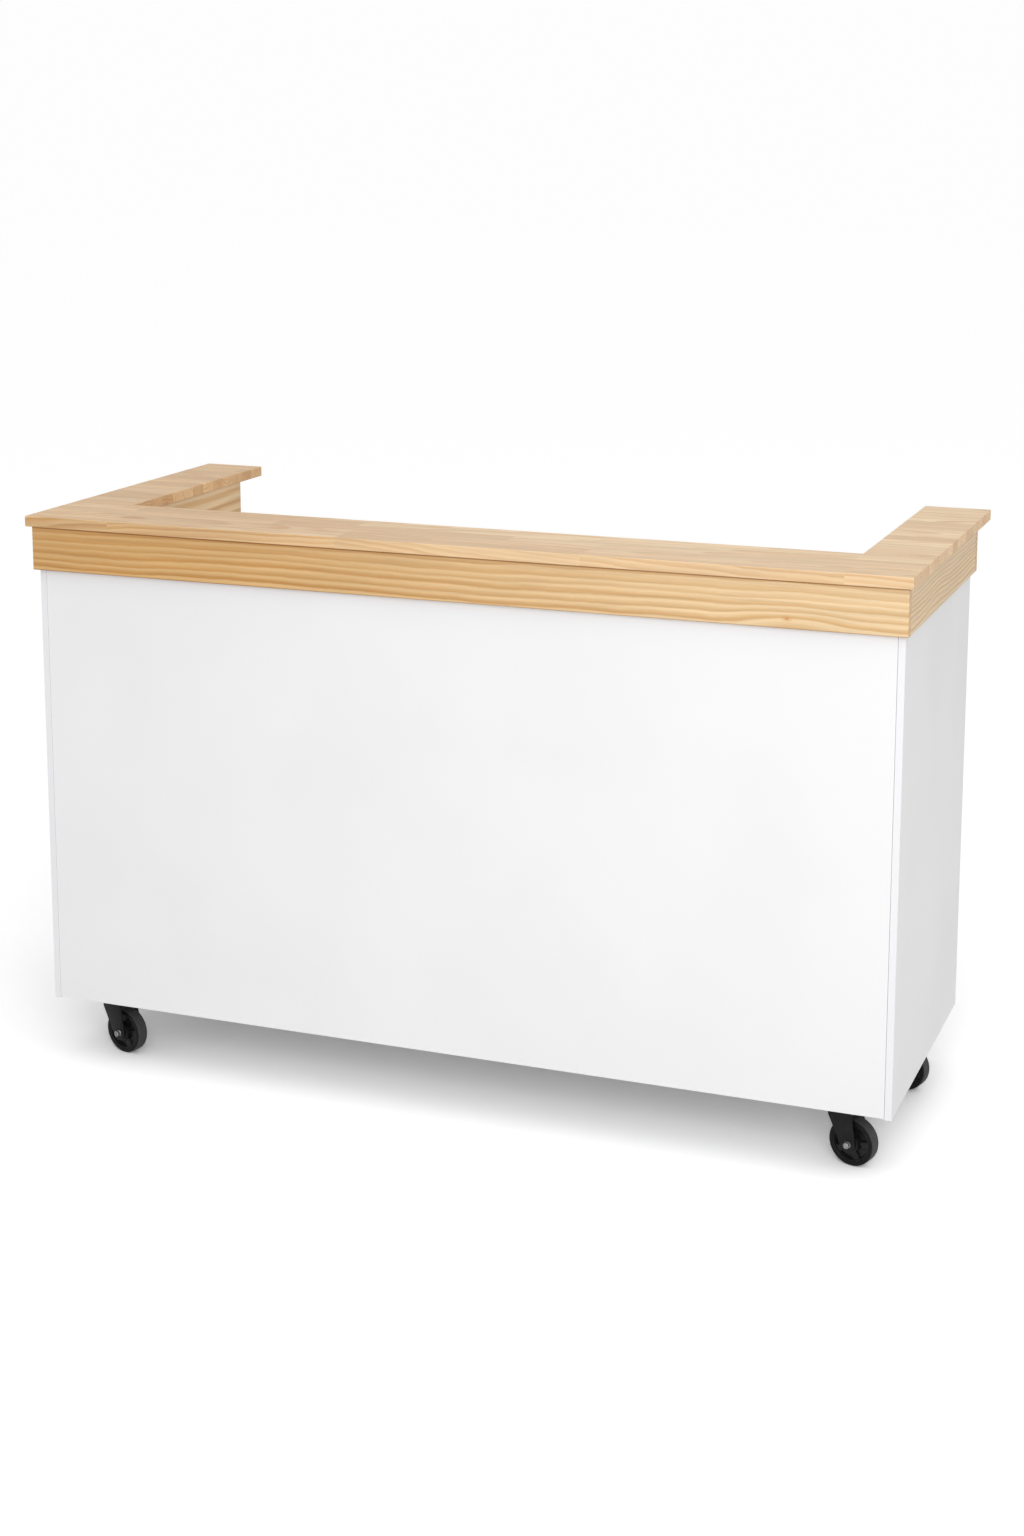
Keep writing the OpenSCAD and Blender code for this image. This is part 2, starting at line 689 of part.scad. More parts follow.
module bush() color(ZINC) on_axle() difference() {
    translate([0, 0, -bush_half]) cylinder(r = bush_r, h = 2 * bush_half);
    translate([0, 0, -bush_half - eps]) cylinder(r = axle_r + run_play, h = 2 * (bush_half + eps));
}

counter_top();
apron_front();
mirror([1, 0, 0]) apron_side();  // apron_left
apron_side();  // apron_right
inner_apron_front();
mirror([1, 0, 0]) inner_apron_side();  // inner_apron_left
inner_apron_side();  // inner_apron_right
mirror([1, 0, 0]) arm_end();  // arm_end_left
arm_end();  // arm_end_right
upper_cleats();
lower_cleats();
corner_blocks();
front_panel();
side_panel(-1);  // side_panel_left
side_panel(1);  // side_panel_right
worktop();
base_panel();
centre_divider();
mirror([1, 0, 0]) shelf();  // shelf_left
shelf();  // shelf_right
cam_locks();
cam_pins();
dowels();
counter_screws();
ledge_screws();
shelf_pegs();
caster_bolts();
caster_nuts();
for (c = CASTERS) translate([c[1], c[2], 0]) {
    plate();
    kingpin();
    swivel_balls();
    rotate([0, 0, caster_turn]) {
        fork();
        axle();
        wheel_hub();
        tyre();
        bush();
    }
}
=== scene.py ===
import json
import math
from collections import namedtuple

import bmesh
import bpy
from mathutils import Color, Matrix, Vector


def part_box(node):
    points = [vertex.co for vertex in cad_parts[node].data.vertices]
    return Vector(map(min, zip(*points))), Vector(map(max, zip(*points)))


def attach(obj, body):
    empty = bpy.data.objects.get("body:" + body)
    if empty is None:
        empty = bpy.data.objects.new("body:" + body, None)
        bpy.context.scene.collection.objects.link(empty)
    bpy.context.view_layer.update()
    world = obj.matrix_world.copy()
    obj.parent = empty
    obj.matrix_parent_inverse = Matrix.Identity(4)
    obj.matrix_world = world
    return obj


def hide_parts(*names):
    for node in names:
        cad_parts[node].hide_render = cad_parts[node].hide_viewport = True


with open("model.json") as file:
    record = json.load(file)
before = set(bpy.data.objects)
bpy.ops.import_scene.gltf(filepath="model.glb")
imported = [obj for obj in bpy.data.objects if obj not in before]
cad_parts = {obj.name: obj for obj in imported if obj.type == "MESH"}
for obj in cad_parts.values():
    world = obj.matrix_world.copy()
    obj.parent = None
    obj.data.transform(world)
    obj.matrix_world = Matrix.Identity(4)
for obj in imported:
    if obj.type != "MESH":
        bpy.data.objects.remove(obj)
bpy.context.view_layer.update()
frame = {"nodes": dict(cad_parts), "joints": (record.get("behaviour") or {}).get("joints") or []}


# Studio
# A white sweep under an even white surround, with a broad light from above and a soft lamp ahead of
# the cart's right end. None of it belongs to the cart. The camera stands where the photograph was
# taken from.
PHOTO_LONG_SIDE = 1536
PHOTO_MIDDLE = (512, 768)
CAMERA_FOCUS_PX = 2385.83
CAMERA_AXIS_PX = (533.78, 542.27)
CAMERA_TARGET = Vector((-0.8846, 2.4885, 0.533))
CAMERA_DISTANCE = 7.181
CAMERA_AZIMUTH = math.radians(20.43)
CAMERA_ELEVATION = math.radians(10.25)
CAMERA_ROLL = math.radians(0.12)
SHOWN_TO = ("Is Camera Ray", "Is Glossy Ray", "Is Transmission Ray")
SURROUND = 0.53
BACKDROP = 0.985
SKY_STRENGTH = 0.78
SKY_SPREAD = math.radians(70)
SKY_TILT = math.radians(24)
SKY_AZIMUTH = math.radians(50)
KEY_PLACE = Vector((1.9, -4.5, 2.1))
KEY_AIM = Vector((0.5, 0.0, 0.5))
KEY_SIZE = 3.0
KEY_WATTS = 112.0
FLOOR_SIZE = 60.0
FLOOR_ALBEDO = 0.60
# The colour at which the open floor looks as bright as the backdrop behind it
FLOOR_SHOWN = BACKDROP / (SURROUND + SKY_STRENGTH * math.cos(SKY_TILT) / math.pi)


class Signal:
    """A number that varies over a surface. Maths on it adds Math nodes beside its own node."""

    def __init__(self, nodes, socket):
        self.nodes = nodes
        self.socket = socket

    def maths(self, operation, *values):
        return self.nodes.add("ShaderNodeMath", {"operation": operation}, dict(enumerate(values)))

    def __add__(self, other):
        return self.maths("ADD", self, other)

    def __sub__(self, other):
        return self.maths("SUBTRACT", self, other)

    def __rsub__(self, other):
        return self.maths("SUBTRACT", other, self)

    def __mul__(self, other):
        return self.maths("MULTIPLY", self, other)

    def __truediv__(self, other):
        return self.maths("DIVIDE", self, other)

    def __pow__(self, other):
        return self.maths("POWER", self, other)

    __radd__ = __add__
    __rmul__ = __mul__

    def floor(self):
        return self.maths("FLOOR", self)

    def fraction(self):
        return self.maths("FRACT", self)

    def size(self):
        return self.maths("ABSOLUTE", self)

    def root(self):
        return self.maths("SQRT", self)

    def either(self, other):
        return self.maths("MAXIMUM", self, other)

    def step(self, low, high):
        """0 below low and 1 above high, with a smooth rise between them. It falls if low is above high."""
        settings = {"interpolation_type": "SMOOTHSTEP"}
        flipped = low > high
        ends = {1: min(low, high), 2: max(low, high), 3: float(flipped), 4: float(not flipped)}
        return self.nodes.add("ShaderNodeMapRange", settings, {0: self, **ends})


class Nodes:
    """The shader nodes of a material or of the surround, added one by one."""

    def __init__(self, owner, output):
        owner.use_nodes = True
        self.tree = owner.node_tree
        self.tree.nodes.clear()
        self.output = self.tree.nodes.new(output)

    def add(self, kind, settings=None, inputs=None, output=0):
        """Adds a node: its settings first, then the values or links of its sockets."""
        node = self.tree.nodes.new(kind)
        for key, value in (settings or {}).items():
            setattr(node, key, value)
        for key, value in (inputs or {}).items():
            self.feed(node.inputs[key], value)
        return Signal(self, node.outputs[output])

    def feed(self, socket, value):
        """Gives a socket its link or its value."""
        if isinstance(value, Signal):
            self.tree.links.new(value.socket, socket)
        else:
            socket.default_value = value

    def show(self, shader):
        self.feed(self.output.inputs["Surface"], shader)

    def shown(self):
        """1 for what the camera sees, straight or in gloss and glass, and 0 for what lights the cart."""
        camera, gloss, glass = [self.add("ShaderNodeLightPath", output=ray) for ray in SHOWN_TO]
        return camera.either(gloss).either(glass)


class Finish(Nodes):
    """A material whose patterns read object coordinates."""

    def __init__(self, name):
        self.material = bpy.data.materials.new(name)
        super().__init__(self.material, "ShaderNodeOutputMaterial")

    def surface(self, **values):
        """Ends the material in the Principled shader, with names such as Base_Color for its sockets."""
        sockets = {key.replace("_", " "): value for key, value in values.items()}
        self.show(self.add("ShaderNodeBsdfPrincipled", None, sockets))
        return self

    def along(self):
        """The object coordinates x, y and z."""
        point = self.add("ShaderNodeTexCoord", output="Object")
        split = self.add("ShaderNodeSeparateXYZ", None, {0: point})
        return [Signal(self, out) for out in split.socket.node.outputs]

    def join(self, x, y, z):
        return self.add("ShaderNodeCombineXYZ", None, {0: x, 1: y, 2: z})

    def facing(self):
        """The parts of the surface normal along x, y and z, without their signs."""
        normal = self.add("ShaderNodeTexCoord", output="Normal")
        split = self.add("ShaderNodeSeparateXYZ", None, {0: normal})
        return [Signal(self, out).size() for out in split.socket.node.outputs]

    def noise(self, point, detail=2.0, roughness=0.5):
        """Noise of about 0 to 1 whose lumps are one unit of the point across."""
        values = {"Vector": point, "Scale": 1.0, "Detail": detail, "Roughness": roughness}
        return self.add("ShaderNodeTexNoise", None, values)

    def mottle(self, per_metre, detail=2.0, roughness=0.5, upright_per_metre=None):
        """Noise with so many lumps per metre, or with another number of them along z."""
        x, y, z = self.along()
        point = self.join(x * per_metre, y * per_metre, z * (upright_per_metre or per_metre))
        return self.noise(point, detail, roughness)

    def chance(self, x, y):
        """Three random numbers from 0 to 1 for each pair of whole numbers."""
        settings = {"noise_dimensions": "2D"}
        drawn = self.add("ShaderNodeTexWhiteNoise", settings, {"Vector": self.join(x, y, 0.0)}, "Color")
        split = self.add("ShaderNodeSeparateColor", None, {0: drawn})
        return [Signal(self, out) for out in split.socket.node.outputs]

    def blend(self, mask, first, second, kind="MIX"):
        """The first colour where the mask is 0, and the second where it is 1."""
        settings = {"data_type": "RGBA", "blend_type": kind}
        return self.add("ShaderNodeMix", settings, {0: mask, 6: first, 7: second}, 2)

    def tint(self, mask, base, tone):
        """The base where the mask is 0, and the base times the tone where it is 1."""
        return self.blend(mask, base, tone, "MULTIPLY")

    def dim(self, base, share):
        """The colour times a number."""
        return self.tint(1.0, base, self.add("ShaderNodeCombineColor", None, {0: share, 1: share, 2: share}))

    def bump(self, height, depth):
        """A normal raised by a height of 0 to 1, over a depth in metres."""
        return self.add("ShaderNodeBump", None, {"Height": height, "Distance": depth, "Strength": 1.0})


def grey(level):
    """A grey from the light that it reflects."""
    return (level, level, level, 1.0)


def made_object(name, mesh, finishes):
    """An object out of a mesh under construction, with its finishes."""
    data = bpy.data.meshes.new(name)
    mesh.to_mesh(data)
    mesh.free()
    for finish in finishes:
        data.materials.append(finish.material)
    made = bpy.data.objects.new(name, data)
    bpy.context.scene.collection.objects.link(made)
    return made


def stood(name, data, place):
    """A lamp or a camera, set up at its place."""
    item = bpy.data.objects.new(name, data)
    item.matrix_world = place
    bpy.context.scene.collection.objects.link(item)
    return item


floor_finish = Finish("studio_floor")
lit_floor = floor_finish.add("ShaderNodeBsdfDiffuse", None, {"Color": grey(FLOOR_ALBEDO)})
shown_floor = floor_finish.add("ShaderNodeBsdfDiffuse", None, {"Color": grey(FLOOR_SHOWN)})
floor_mix = {0: floor_finish.shown(), 1: lit_floor, 2: shown_floor}
floor_finish.show(floor_finish.add("ShaderNodeMixShader", None, floor_mix))
floor_mesh = bmesh.new()
bmesh.ops.create_grid(floor_mesh, x_segments=1, y_segments=1, size=FLOOR_SIZE / 2)
floor = made_object("floor", floor_mesh, [floor_finish])

world = bpy.data.worlds.new("surround")
bpy.context.scene.world = world
surround = Nodes(world, "ShaderNodeOutputWorld")
brightness = SURROUND + (BACKDROP - SURROUND) * surround.shown()
surround.show(surround.add("ShaderNodeBackground", None, {"Color": grey(1.0), "Strength": brightness}))

key = bpy.data.lights.new("key_lamp", "AREA")
key.size = KEY_SIZE
key.energy = KEY_WATTS
aim = (KEY_AIM - KEY_PLACE).to_track_quat("-Z", "Y").to_matrix().to_4x4()
key_lamp = stood("key_lamp", key, Matrix.Translation(KEY_PLACE) @ aim)
key_lamp.visible_camera = False

sky = bpy.data.lights.new("sky_light", "SUN")
sky.energy = SKY_STRENGTH
sky.angle = SKY_SPREAD
stood("sky_light", sky, Matrix.Rotation(SKY_AZIMUTH, 4, "Z") @ Matrix.Rotation(SKY_TILT, 4, "X"))

lens = bpy.data.cameras.new("camera")
lens.lens = CAMERA_FOCUS_PX / PHOTO_LONG_SIDE * lens.sensor_width
lens.shift_x = (PHOTO_MIDDLE[0] - CAMERA_AXIS_PX[0]) / PHOTO_LONG_SIDE
lens.shift_y = (CAMERA_AXIS_PX[1] - PHOTO_MIDDLE[1]) / PHOTO_LONG_SIDE
turn = (Matrix.Rotation(CAMERA_AZIMUTH, 4, "Z") @ Matrix.Rotation(math.pi / 2 - CAMERA_ELEVATION, 4, "X")
        @ Matrix.Rotation(CAMERA_ROLL, 4, "Z"))
viewpoint = Matrix.Translation(CAMERA_TARGET) @ turn @ Matrix.Translation((0, 0, CAMERA_DISTANCE))
bpy.context.scene.camera = stood("camera", lens, viewpoint)
bpy.context.scene.view_settings.view_transform = "Standard"


# White panels
# Front, sides, worktop, base, divider and shelves: particle board faced with white satin melamine and
# banded on its edges, cut square and eased by a fraction of a millimetre where hands meet it.


def colour(red, green, blue):
    """A colour from its written values of 0 to 255, as the light that it reflects."""
    return (*Color((red / 255, green / 255, blue / 255)).from_srgb_to_scene_linear(), 1.0)


MELAMINE = colour(240, 240, 241)
BAND = colour(237, 237, 239)
PEARL_PER_M = 900
PEARL_DEPTH = 0.00004
DRIFT_PER_M = 3
DRIFT_RISE = (0.35, 0.7)
DRIFT_GREY = 0.975
MELAMINE_ROUGH = 0.36
MELAMINE_ROUGHER = 0.10
PANEL_ARRIS = 0.0005
RIM_W = 0.003
# How near two points, two planes and two directions are when they count as one, and how squarely a
# face looks along the panel's thickness when it isn't part of its edge
SAME_POINT = 1e-6
SAME_PLANE = 1e-5
LEVEL = math.radians(1)
SQUARE_ON = 0.9
PANEL_NODES = ["front_panel", "side_panel_left", "side_panel_right", "worktop", "base_panel",
               "centre_divider", "shelf_left", "shelf_right"]


def melamine(name, white):
    """White melamine: a faint pearl in the press plate's texture, and a slow drift in its sheen."""
    finish = Finish(name)
    pearl = finish.mottle(PEARL_PER_M, detail=3.0)
    drift = finish.mottle(DRIFT_PER_M)
    greyer = [share * DRIFT_GREY for share in white[:3]] + [1.0]
    base = finish.blend(drift.step(*DRIFT_RISE), white, greyer)
    return finish.surface(Base_Color=base, Roughness=MELAMINE_ROUGH + MELAMINE_ROUGHER * drift,
                          Normal=finish.bump(pearl, PEARL_DEPTH))


def add_piece(name, mesh, body, finishes, stands_for):
    """Makes a piece of a mesh under construction, puts it on its body, and lets it stand for CAD nodes."""
    piece = made_object(name, mesh, finishes)
    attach(piece, body)
    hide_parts(*stands_for)


def merged_copy(node):
    """A copy of a CAD node's mesh with its doubled corners merged."""
    mesh = bmesh.new()
    mesh.from_mesh(frame["nodes"][node].data)
    bmesh.ops.remove_doubles(mesh, verts=mesh.verts[:], dist=SAME_POINT)
    return mesh


def made_whole(mesh, edges):
    """Joins the faces that are level with each other across these edges."""
    bmesh.ops.dissolve_limit(mesh, angle_limit=LEVEL, verts=mesh.verts[:], edges=edges)
    return mesh


def ease(mesh, edges, arris, segments=3):
    """Rounds these edges by the width of an arris."""
    bmesh.ops.bevel(mesh, geom=edges, affect="EDGES", offset=arris, segments=segments, profile=0.5,
                    material=-1)


def sides_near(points, low, high, reach):
    """How many sides of the box all of these points are near."""
    return sum(all(abs(point[axis] - end[axis]) < reach for point in points)
               for axis in range(3) for end in (low, high))


def rimmed_copy(node):
    """A panel whose faces are cut off a little way in from its edges, so that easing them moves no hole."""
    low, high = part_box(node)
    mesh = merged_copy(node)
    for axis in range(3):
        normal = Vector([float(axis == other) for other in range(3)])
        for place in (low[axis] + RIM_W, high[axis] - RIM_W):
            everything = mesh.verts[:] + mesh.edges[:] + mesh.faces[:]
            bmesh.ops.bisect_plane(mesh, geom=everything, dist=SAME_PLANE, plane_co=normal * place,
                                   plane_no=normal)
    rim = {face for face in mesh.faces if sides_near([face.calc_center_median()], low, high, RIM_W) > 1}
    made_whole(mesh, [edge for edge in mesh.edges if rim.issuperset(edge.link_faces)])
    outer = [edge for edge in mesh.edges
             if sides_near([vert.co for vert in edge.verts], low, high, SAME_PLANE) == 2]
    ease(mesh, outer, PANEL_ARRIS)
    bmesh.ops.dissolve_degenerate(mesh, dist=SAME_POINT, edges=mesh.edges[:])
    return mesh


melamine_face = melamine("white_melamine", MELAMINE)
melamine_band = melamine("white_edge_band", BAND)
for node in PANEL_NODES:
    low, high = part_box(node)
    panel = rimmed_copy(node)
    thin = min(range(3), key=lambda axis: (high - low)[axis])
    for face in panel.faces:
        face.material_index = 0 if abs(face.normal[thin]) > SQUARE_ON else 1
    add_piece(node + "_melamine", panel, "cabinet", [melamine_face, melamine_band], [node])


# Pine ledge
# Eight flat-sawn pine boards under a clear satin lacquer, butted and glued into a hollow ring. The
# front board runs the full width, so its end grain shows at both corners. Its growth rings lie
# nearly level and rise over a small knot near its right end.
PINE_LIGHT = colour(234, 206, 164)
PINE_GOLD = colour(203, 156, 96)
RING_LINE = colour(180, 132, 76)
END_TINT = (0.90, 0.83, 0.74, 1.0)
# A warm tint: random amber tone on the ledge boards, and amber with painted shade towards the front board's
# left end
AMBER_AND_SHADE = (0.80, 0.64, 0.42, 1.0)
# Painted shadow: the dark line on the front board under the counter's overhang and along its bottom edge
SEAM_SHADOW_TINT = (0.56, 0.43, 0.32, 1.0)
KNOT_BROWN = colour(202, 146, 88)
BOARD_ARRIS = 0.0012
SEAM_SHADOW_H = 0.0052
# A noise: how many lumps it has in a metre along the grain and across it, and how detailed they are
Lumps = namedtuple("Lumps", "along across detail")
# Three ways in which the rings stray from round, each with its reach in metres
BEND = Lumps(3.4, 8, 1.0)
BEND_REACH = 0.016
SWAY = Lumps(8.5, 24, 1.5)
SWAY_REACH = 0.0065
WIGGLE = Lumps(40, 60, 2.0)
WIGGLE_REACH = 0.0022
# How often the rings' widths change, how faint a ring may be, and where in it gold and line come in
RING_DRIFT_PER_M = 45
RING_LEAST = 0.35
GOLD_RISE = (0.05, 0.85)
LINE_RISE = (0.70, 0.90)
LINE_SHARE = 0.28
FIBRE = Lumps(14, 700, 3.0)
FIBRE_ROUGHNESS = 0.6
STREAK = Lumps(5, 190, 2.0)
FLECK = Lumps(130, 1500, 1.0)
FLECK_RISE = (0.64, 0.76)
# How light the wood is, and what its fibres, streaks and flecks add or take away
PINE_SHADE = 0.70
FIBRE_SHADE = 0.24
STREAK_SHADE = 0.34
FLECK_SHADE = 0.08
TONE = Lumps(1.6, 9, 2.0)
TONE_RISE = (0.3, 0.75)
TONE_SHARE = 0.30
# How squarely a face has to look along an axis before it shows end grain
TURNED = (0.5, 0.8)
GRAIN_DEPTH = 0.00012
LACQUER_ROUGH = 0.36
LACQUER_ROUGHER = 0.14
LACQUER_SHINE = 0.3
# Where along x the front board starts to turn amber and darken with painted shade, and where it has turned
AMBER_SHADE_FROM = 0.95
AMBER_SHADE_TO = -0.75
AMBER_SHADE_LEAST = 0.68
AMBER_SHADE_RELIEF = 0.85
KNOT_X = 0.622
KNOT_Z = 0.981
KNOT_HALF_WIDTH = 0.006
KNOT_HALF_HEIGHT = 0.0028
# The knot's core and halo, and the hump of the rings over it, in half widths and half heights of it
KNOT_CORE = (0.75, 0.45)
KNOT_HALO = (2.2, 1.0)
KNOT_HALO_SHARE = 0.35
HUMP_WIDTHS = 14.0
HUMP_HEIGHTS = 7.0
HUMP_END = 1.6
HUMP_LIFT = 0.011
ALONG_X, ALONG_Y, ALONG_Z = range(3)
# A board: the axis its grain follows, where the pith lay across it, the width of a growth ring, its
# place in the noise, the part of a ring that fades back, and how deep its rings' colour is
Board = namedtuple("Board", "grain pith ring seed fade depth")
LEDGE = {
    "apron_front": Board(ALONG_X, (-0.400, 1.150), 0.0130, 1.0, 0.20, 0.8),
    "apron_left": Board(ALONG_Y, (-0.740, 0.860), 0.0070, 7.0, 0.10, 1.0),
    "apron_right": Board(ALONG_Y, (0.760, 0.880), 0.0070, 13.0, 0.10, 1.0),
    "inner_apron_front": Board(ALONG_X, (-0.150, 0.880), 0.0090, 19.0, 0.15, 1.0),
    "inner_apron_left": Board(ALONG_Y, (-0.690, 0.900), 0.0240, 25.0, 0.35, 1.0),
    "inner_apron_right": Board(ALONG_Y, (0.690, 0.910), 0.0220, 31.0, 0.35, 1.0),
    "arm_end_left": Board(ALONG_X, (0.200, 0.900), 0.0080, 37.0, 0.15, 1.0),
    "arm_end_right": Board(ALONG_X, (0.200, 0.910), 0.0080, 43.0, 0.15, 1.0),
}


def lumps(finish, u, v, w, noise, start=0.0, side_start=0.0, roughness=0.5):
    """Noise drawn out along the grain, with its own start along the grain or beside it."""
    point = finish.join(u * noise.along + start, v * noise.across + side_start, w * noise.across)
    return finish.noise(point, noise.detail, roughness)


def pine_figure(finish, u, v, w, board):
    """Pine's colour, and its relief from 0 to 1. u runs along the grain; v and w start at the pith.

    Each growth ring deepens outwards from light wood to gold, ends in a thin dark line, and fades back
    to light over the last part of the ring.
    """
    bend = lumps(finish, u, v, w, BEND, board.seed)
    sway = lumps(finish, u, v, w, SWAY, board.seed)
    wiggle = lumps(finish, u, v, w, WIGGLE, board.seed)
    radius = (v * v + w * w).root() + bend * BEND_REACH + sway * SWAY_REACH + wiggle * WIGGLE_REACH
    drift = finish.noise(finish.join(radius * RING_DRIFT_PER_M + board.seed, 0.0, 0.0), detail=1.0)
    count = radius / board.ring + drift
    part = count.fraction()
    strength = board.depth * (RING_LEAST + (1 - RING_LEAST) * finish.chance(count.floor(), board.seed)[0])
    outer = part.step(1.0, 1.0 - board.fade) * strength
    gold = part.step(*GOLD_RISE) * outer
    line = part.step(*LINE_RISE) * outer
    base = finish.blend(gold, PINE_LIGHT, PINE_GOLD)
    base = finish.blend(line * LINE_SHARE, base, RING_LINE)
    fibre = lumps(finish, u, v, w, FIBRE, side_start=board.seed, roughness=FIBRE_ROUGHNESS)
    streak = lumps(finish, u, v, w, STREAK, side_start=board.seed)
    fleck = lumps(finish, u, v, w, FLECK, side_start=board.seed).step(*FLECK_RISE)
    base = finish.dim(base, PINE_SHADE + FIBRE_SHADE * fibre + STREAK_SHADE * streak - FLECK_SHADE * fleck)
    return base, (fibre + gold) / 2


def painted_seam_shadow(finish, base):
    """Paints shadow on the boards along the counter above them and along the panels below."""
    low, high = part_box("apron_front")
    z = finish.along()[ALONG_Z]
    upper = z.step(high.z - SEAM_SHADOW_H, high.z - SEAM_SHADOW_H / 2)
    lower = z.step(low.z + SEAM_SHADOW_H / 2, low.z)
    return finish.tint(upper.either(lower), base, SEAM_SHADOW_TINT)


def lacquered(finish, base, relief, grain):
    """Darkens the board's end grain and lays a satin lacquer over all of it."""
    base = finish.tint(finish.facing()[grain].step(*TURNED), base, END_TINT)
    return finish.surface(Base_Color=base, Roughness=LACQUER_ROUGH + LACQUER_ROUGHER * relief,
                          Specular_IOR_Level=LACQUER_SHINE, Normal=finish.bump(relief, GRAIN_DEPTH))


def ledge_pine(name, board):
    """A side, inner or end board: its tone changes slowly along it."""
    finish = Finish(name)
    axes = finish.along()
    u = axes.pop(board.grain)
    v = axes[0] - board.pith[0]
    w = axes[1] - board.pith[1]
    base, relief = pine_figure(finish, u, v, w, board)
    tone = lumps(finish, u, v, w, TONE, board.seed)
    base = finish.tint(tone.step(*TONE_RISE) * TONE_SHARE, base, AMBER_AND_SHADE)
    return lacquered(finish, base, relief, board.grain)


def front_pine(name, board):
    """The front board: deeper amber and painted shade towards its left end, rings that rise over a knot, and
    painted shadow along its top and bottom.
    """
    finish = Finish(name)
    x, y, z = finish.along()
    beside = (x - KNOT_X) / KNOT_HALF_WIDTH
    above = (z - KNOT_Z) / KNOT_HALF_HEIGHT
    knot = (beside * beside + above * above).root()
    hump = (beside * beside / HUMP_WIDTHS ** 2 + above * above / HUMP_HEIGHTS ** 2).root()
    v = y - board.pith[0]
    w = z - board.pith[1] - hump.step(HUMP_END, 0.0) * HUMP_LIFT
    base, relief = pine_figure(finish, x, v, w, board)
    # Amber deepening and painted shade towards the left end
    base = finish.tint(x.step(AMBER_SHADE_FROM, AMBER_SHADE_TO) * (AMBER_SHADE_LEAST + AMBER_SHADE_RELIEF * relief), base, AMBER_AND_SHADE)
    base = finish.blend(knot.step(*KNOT_HALO) * KNOT_HALO_SHARE, base, KNOT_BROWN)
    base = finish.blend(knot.step(*KNOT_CORE), base, KNOT_BROWN)
    return lacquered(finish, painted_seam_shadow(finish, base), relief, board.grain)


def planed_board(low, high):
    mesh = bmesh.new()
    bmesh.ops.create_cube(mesh, size=1.0)
    bmesh.ops.scale(mesh, vec=high - low, verts=mesh.verts)
    bmesh.ops.translate(mesh, vec=(low + high) / 2, verts=mesh.verts)
    ease(mesh, mesh.edges[:], BOARD_ARRIS)
    return mesh


for node, board in LEDGE.items():
    pine = front_pine if node == "apron_front" else ledge_pine
    add_piece(node + "_lacquered", planed_board(*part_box(node)), "cabinet",
              [pine("pine_" + node, board)], [node])


# Counter board
# One U-shaped board of pine staves glued edge to edge, each stave made of lengths joined end to end
# with fingers, then sanded, eased along its edges and lacquered. The staves run from side to side,
# so their end grain shows along both arms.
STAVE_W = 0.042
STAVE_LENGTH = 0.46
FINGER_W = 0.004
FINGER_LENGTH = 0.009
# Each length has a pith of its own, so none is given here
STAVE_BOARD = Board(ALONG_X, None, 0.0075, 0.0, 0.2, 1.0)
STAVE_SEED = 3.0
STAVE_SLANT = 0.07
# How far apart the lengths' piths lie, and how long a trunk they come from
PITH_SPREAD_Y = 0.10
PITH_SPREAD_Z = 0.16
TRUNK_SPREAD = 9
STAVE_PALE = colour(236, 210, 176)
PALE_LEAST = 0.25
PALE_RANGE = 0.30
STAVE_LIGHT = 1.11
# Painted light: the staves' edges and end grain are lightened against their tops, and their edges take less
# of a stave's tint
SIDE_PAINTED_LIGHT = 0.03
END_PAINTED_LIGHT = 0.10
DARK_END_RARITY = 3.0
STAVE_TINT = (0.79, 0.69, 0.58, 1.0)
STAVE_TINT_TOP = 0.8
STAVE_TINT_SIDE_LESS = 0.7
STAVE_STREAK = Lumps(4, 50, 3.0)
STAVE_STREAK_LEAST = 0.82
STAVE_STREAK_RANGE = 0.36
# Painted shade: the counter darkens towards its left end, less so on its end grain
SHADY_TINT = (0.85, 0.78, 0.68, 1.0)
SHADY_FROM = 0.2
SHADY_TO = -0.6
SHADY_END_LESS = 0.35
JOINT_TINT = (0.62, 0.48, 0.34, 1.0)
JOINT_SHARE = 0.35
# Where the joints darken, as shares of a stave's width and of a length from its middle
GLUE_LINE = (0.493, 0.4985)
FINGER_LINE = (0.4992, 0.4998)
COUNTER_ARRIS = 0.0015


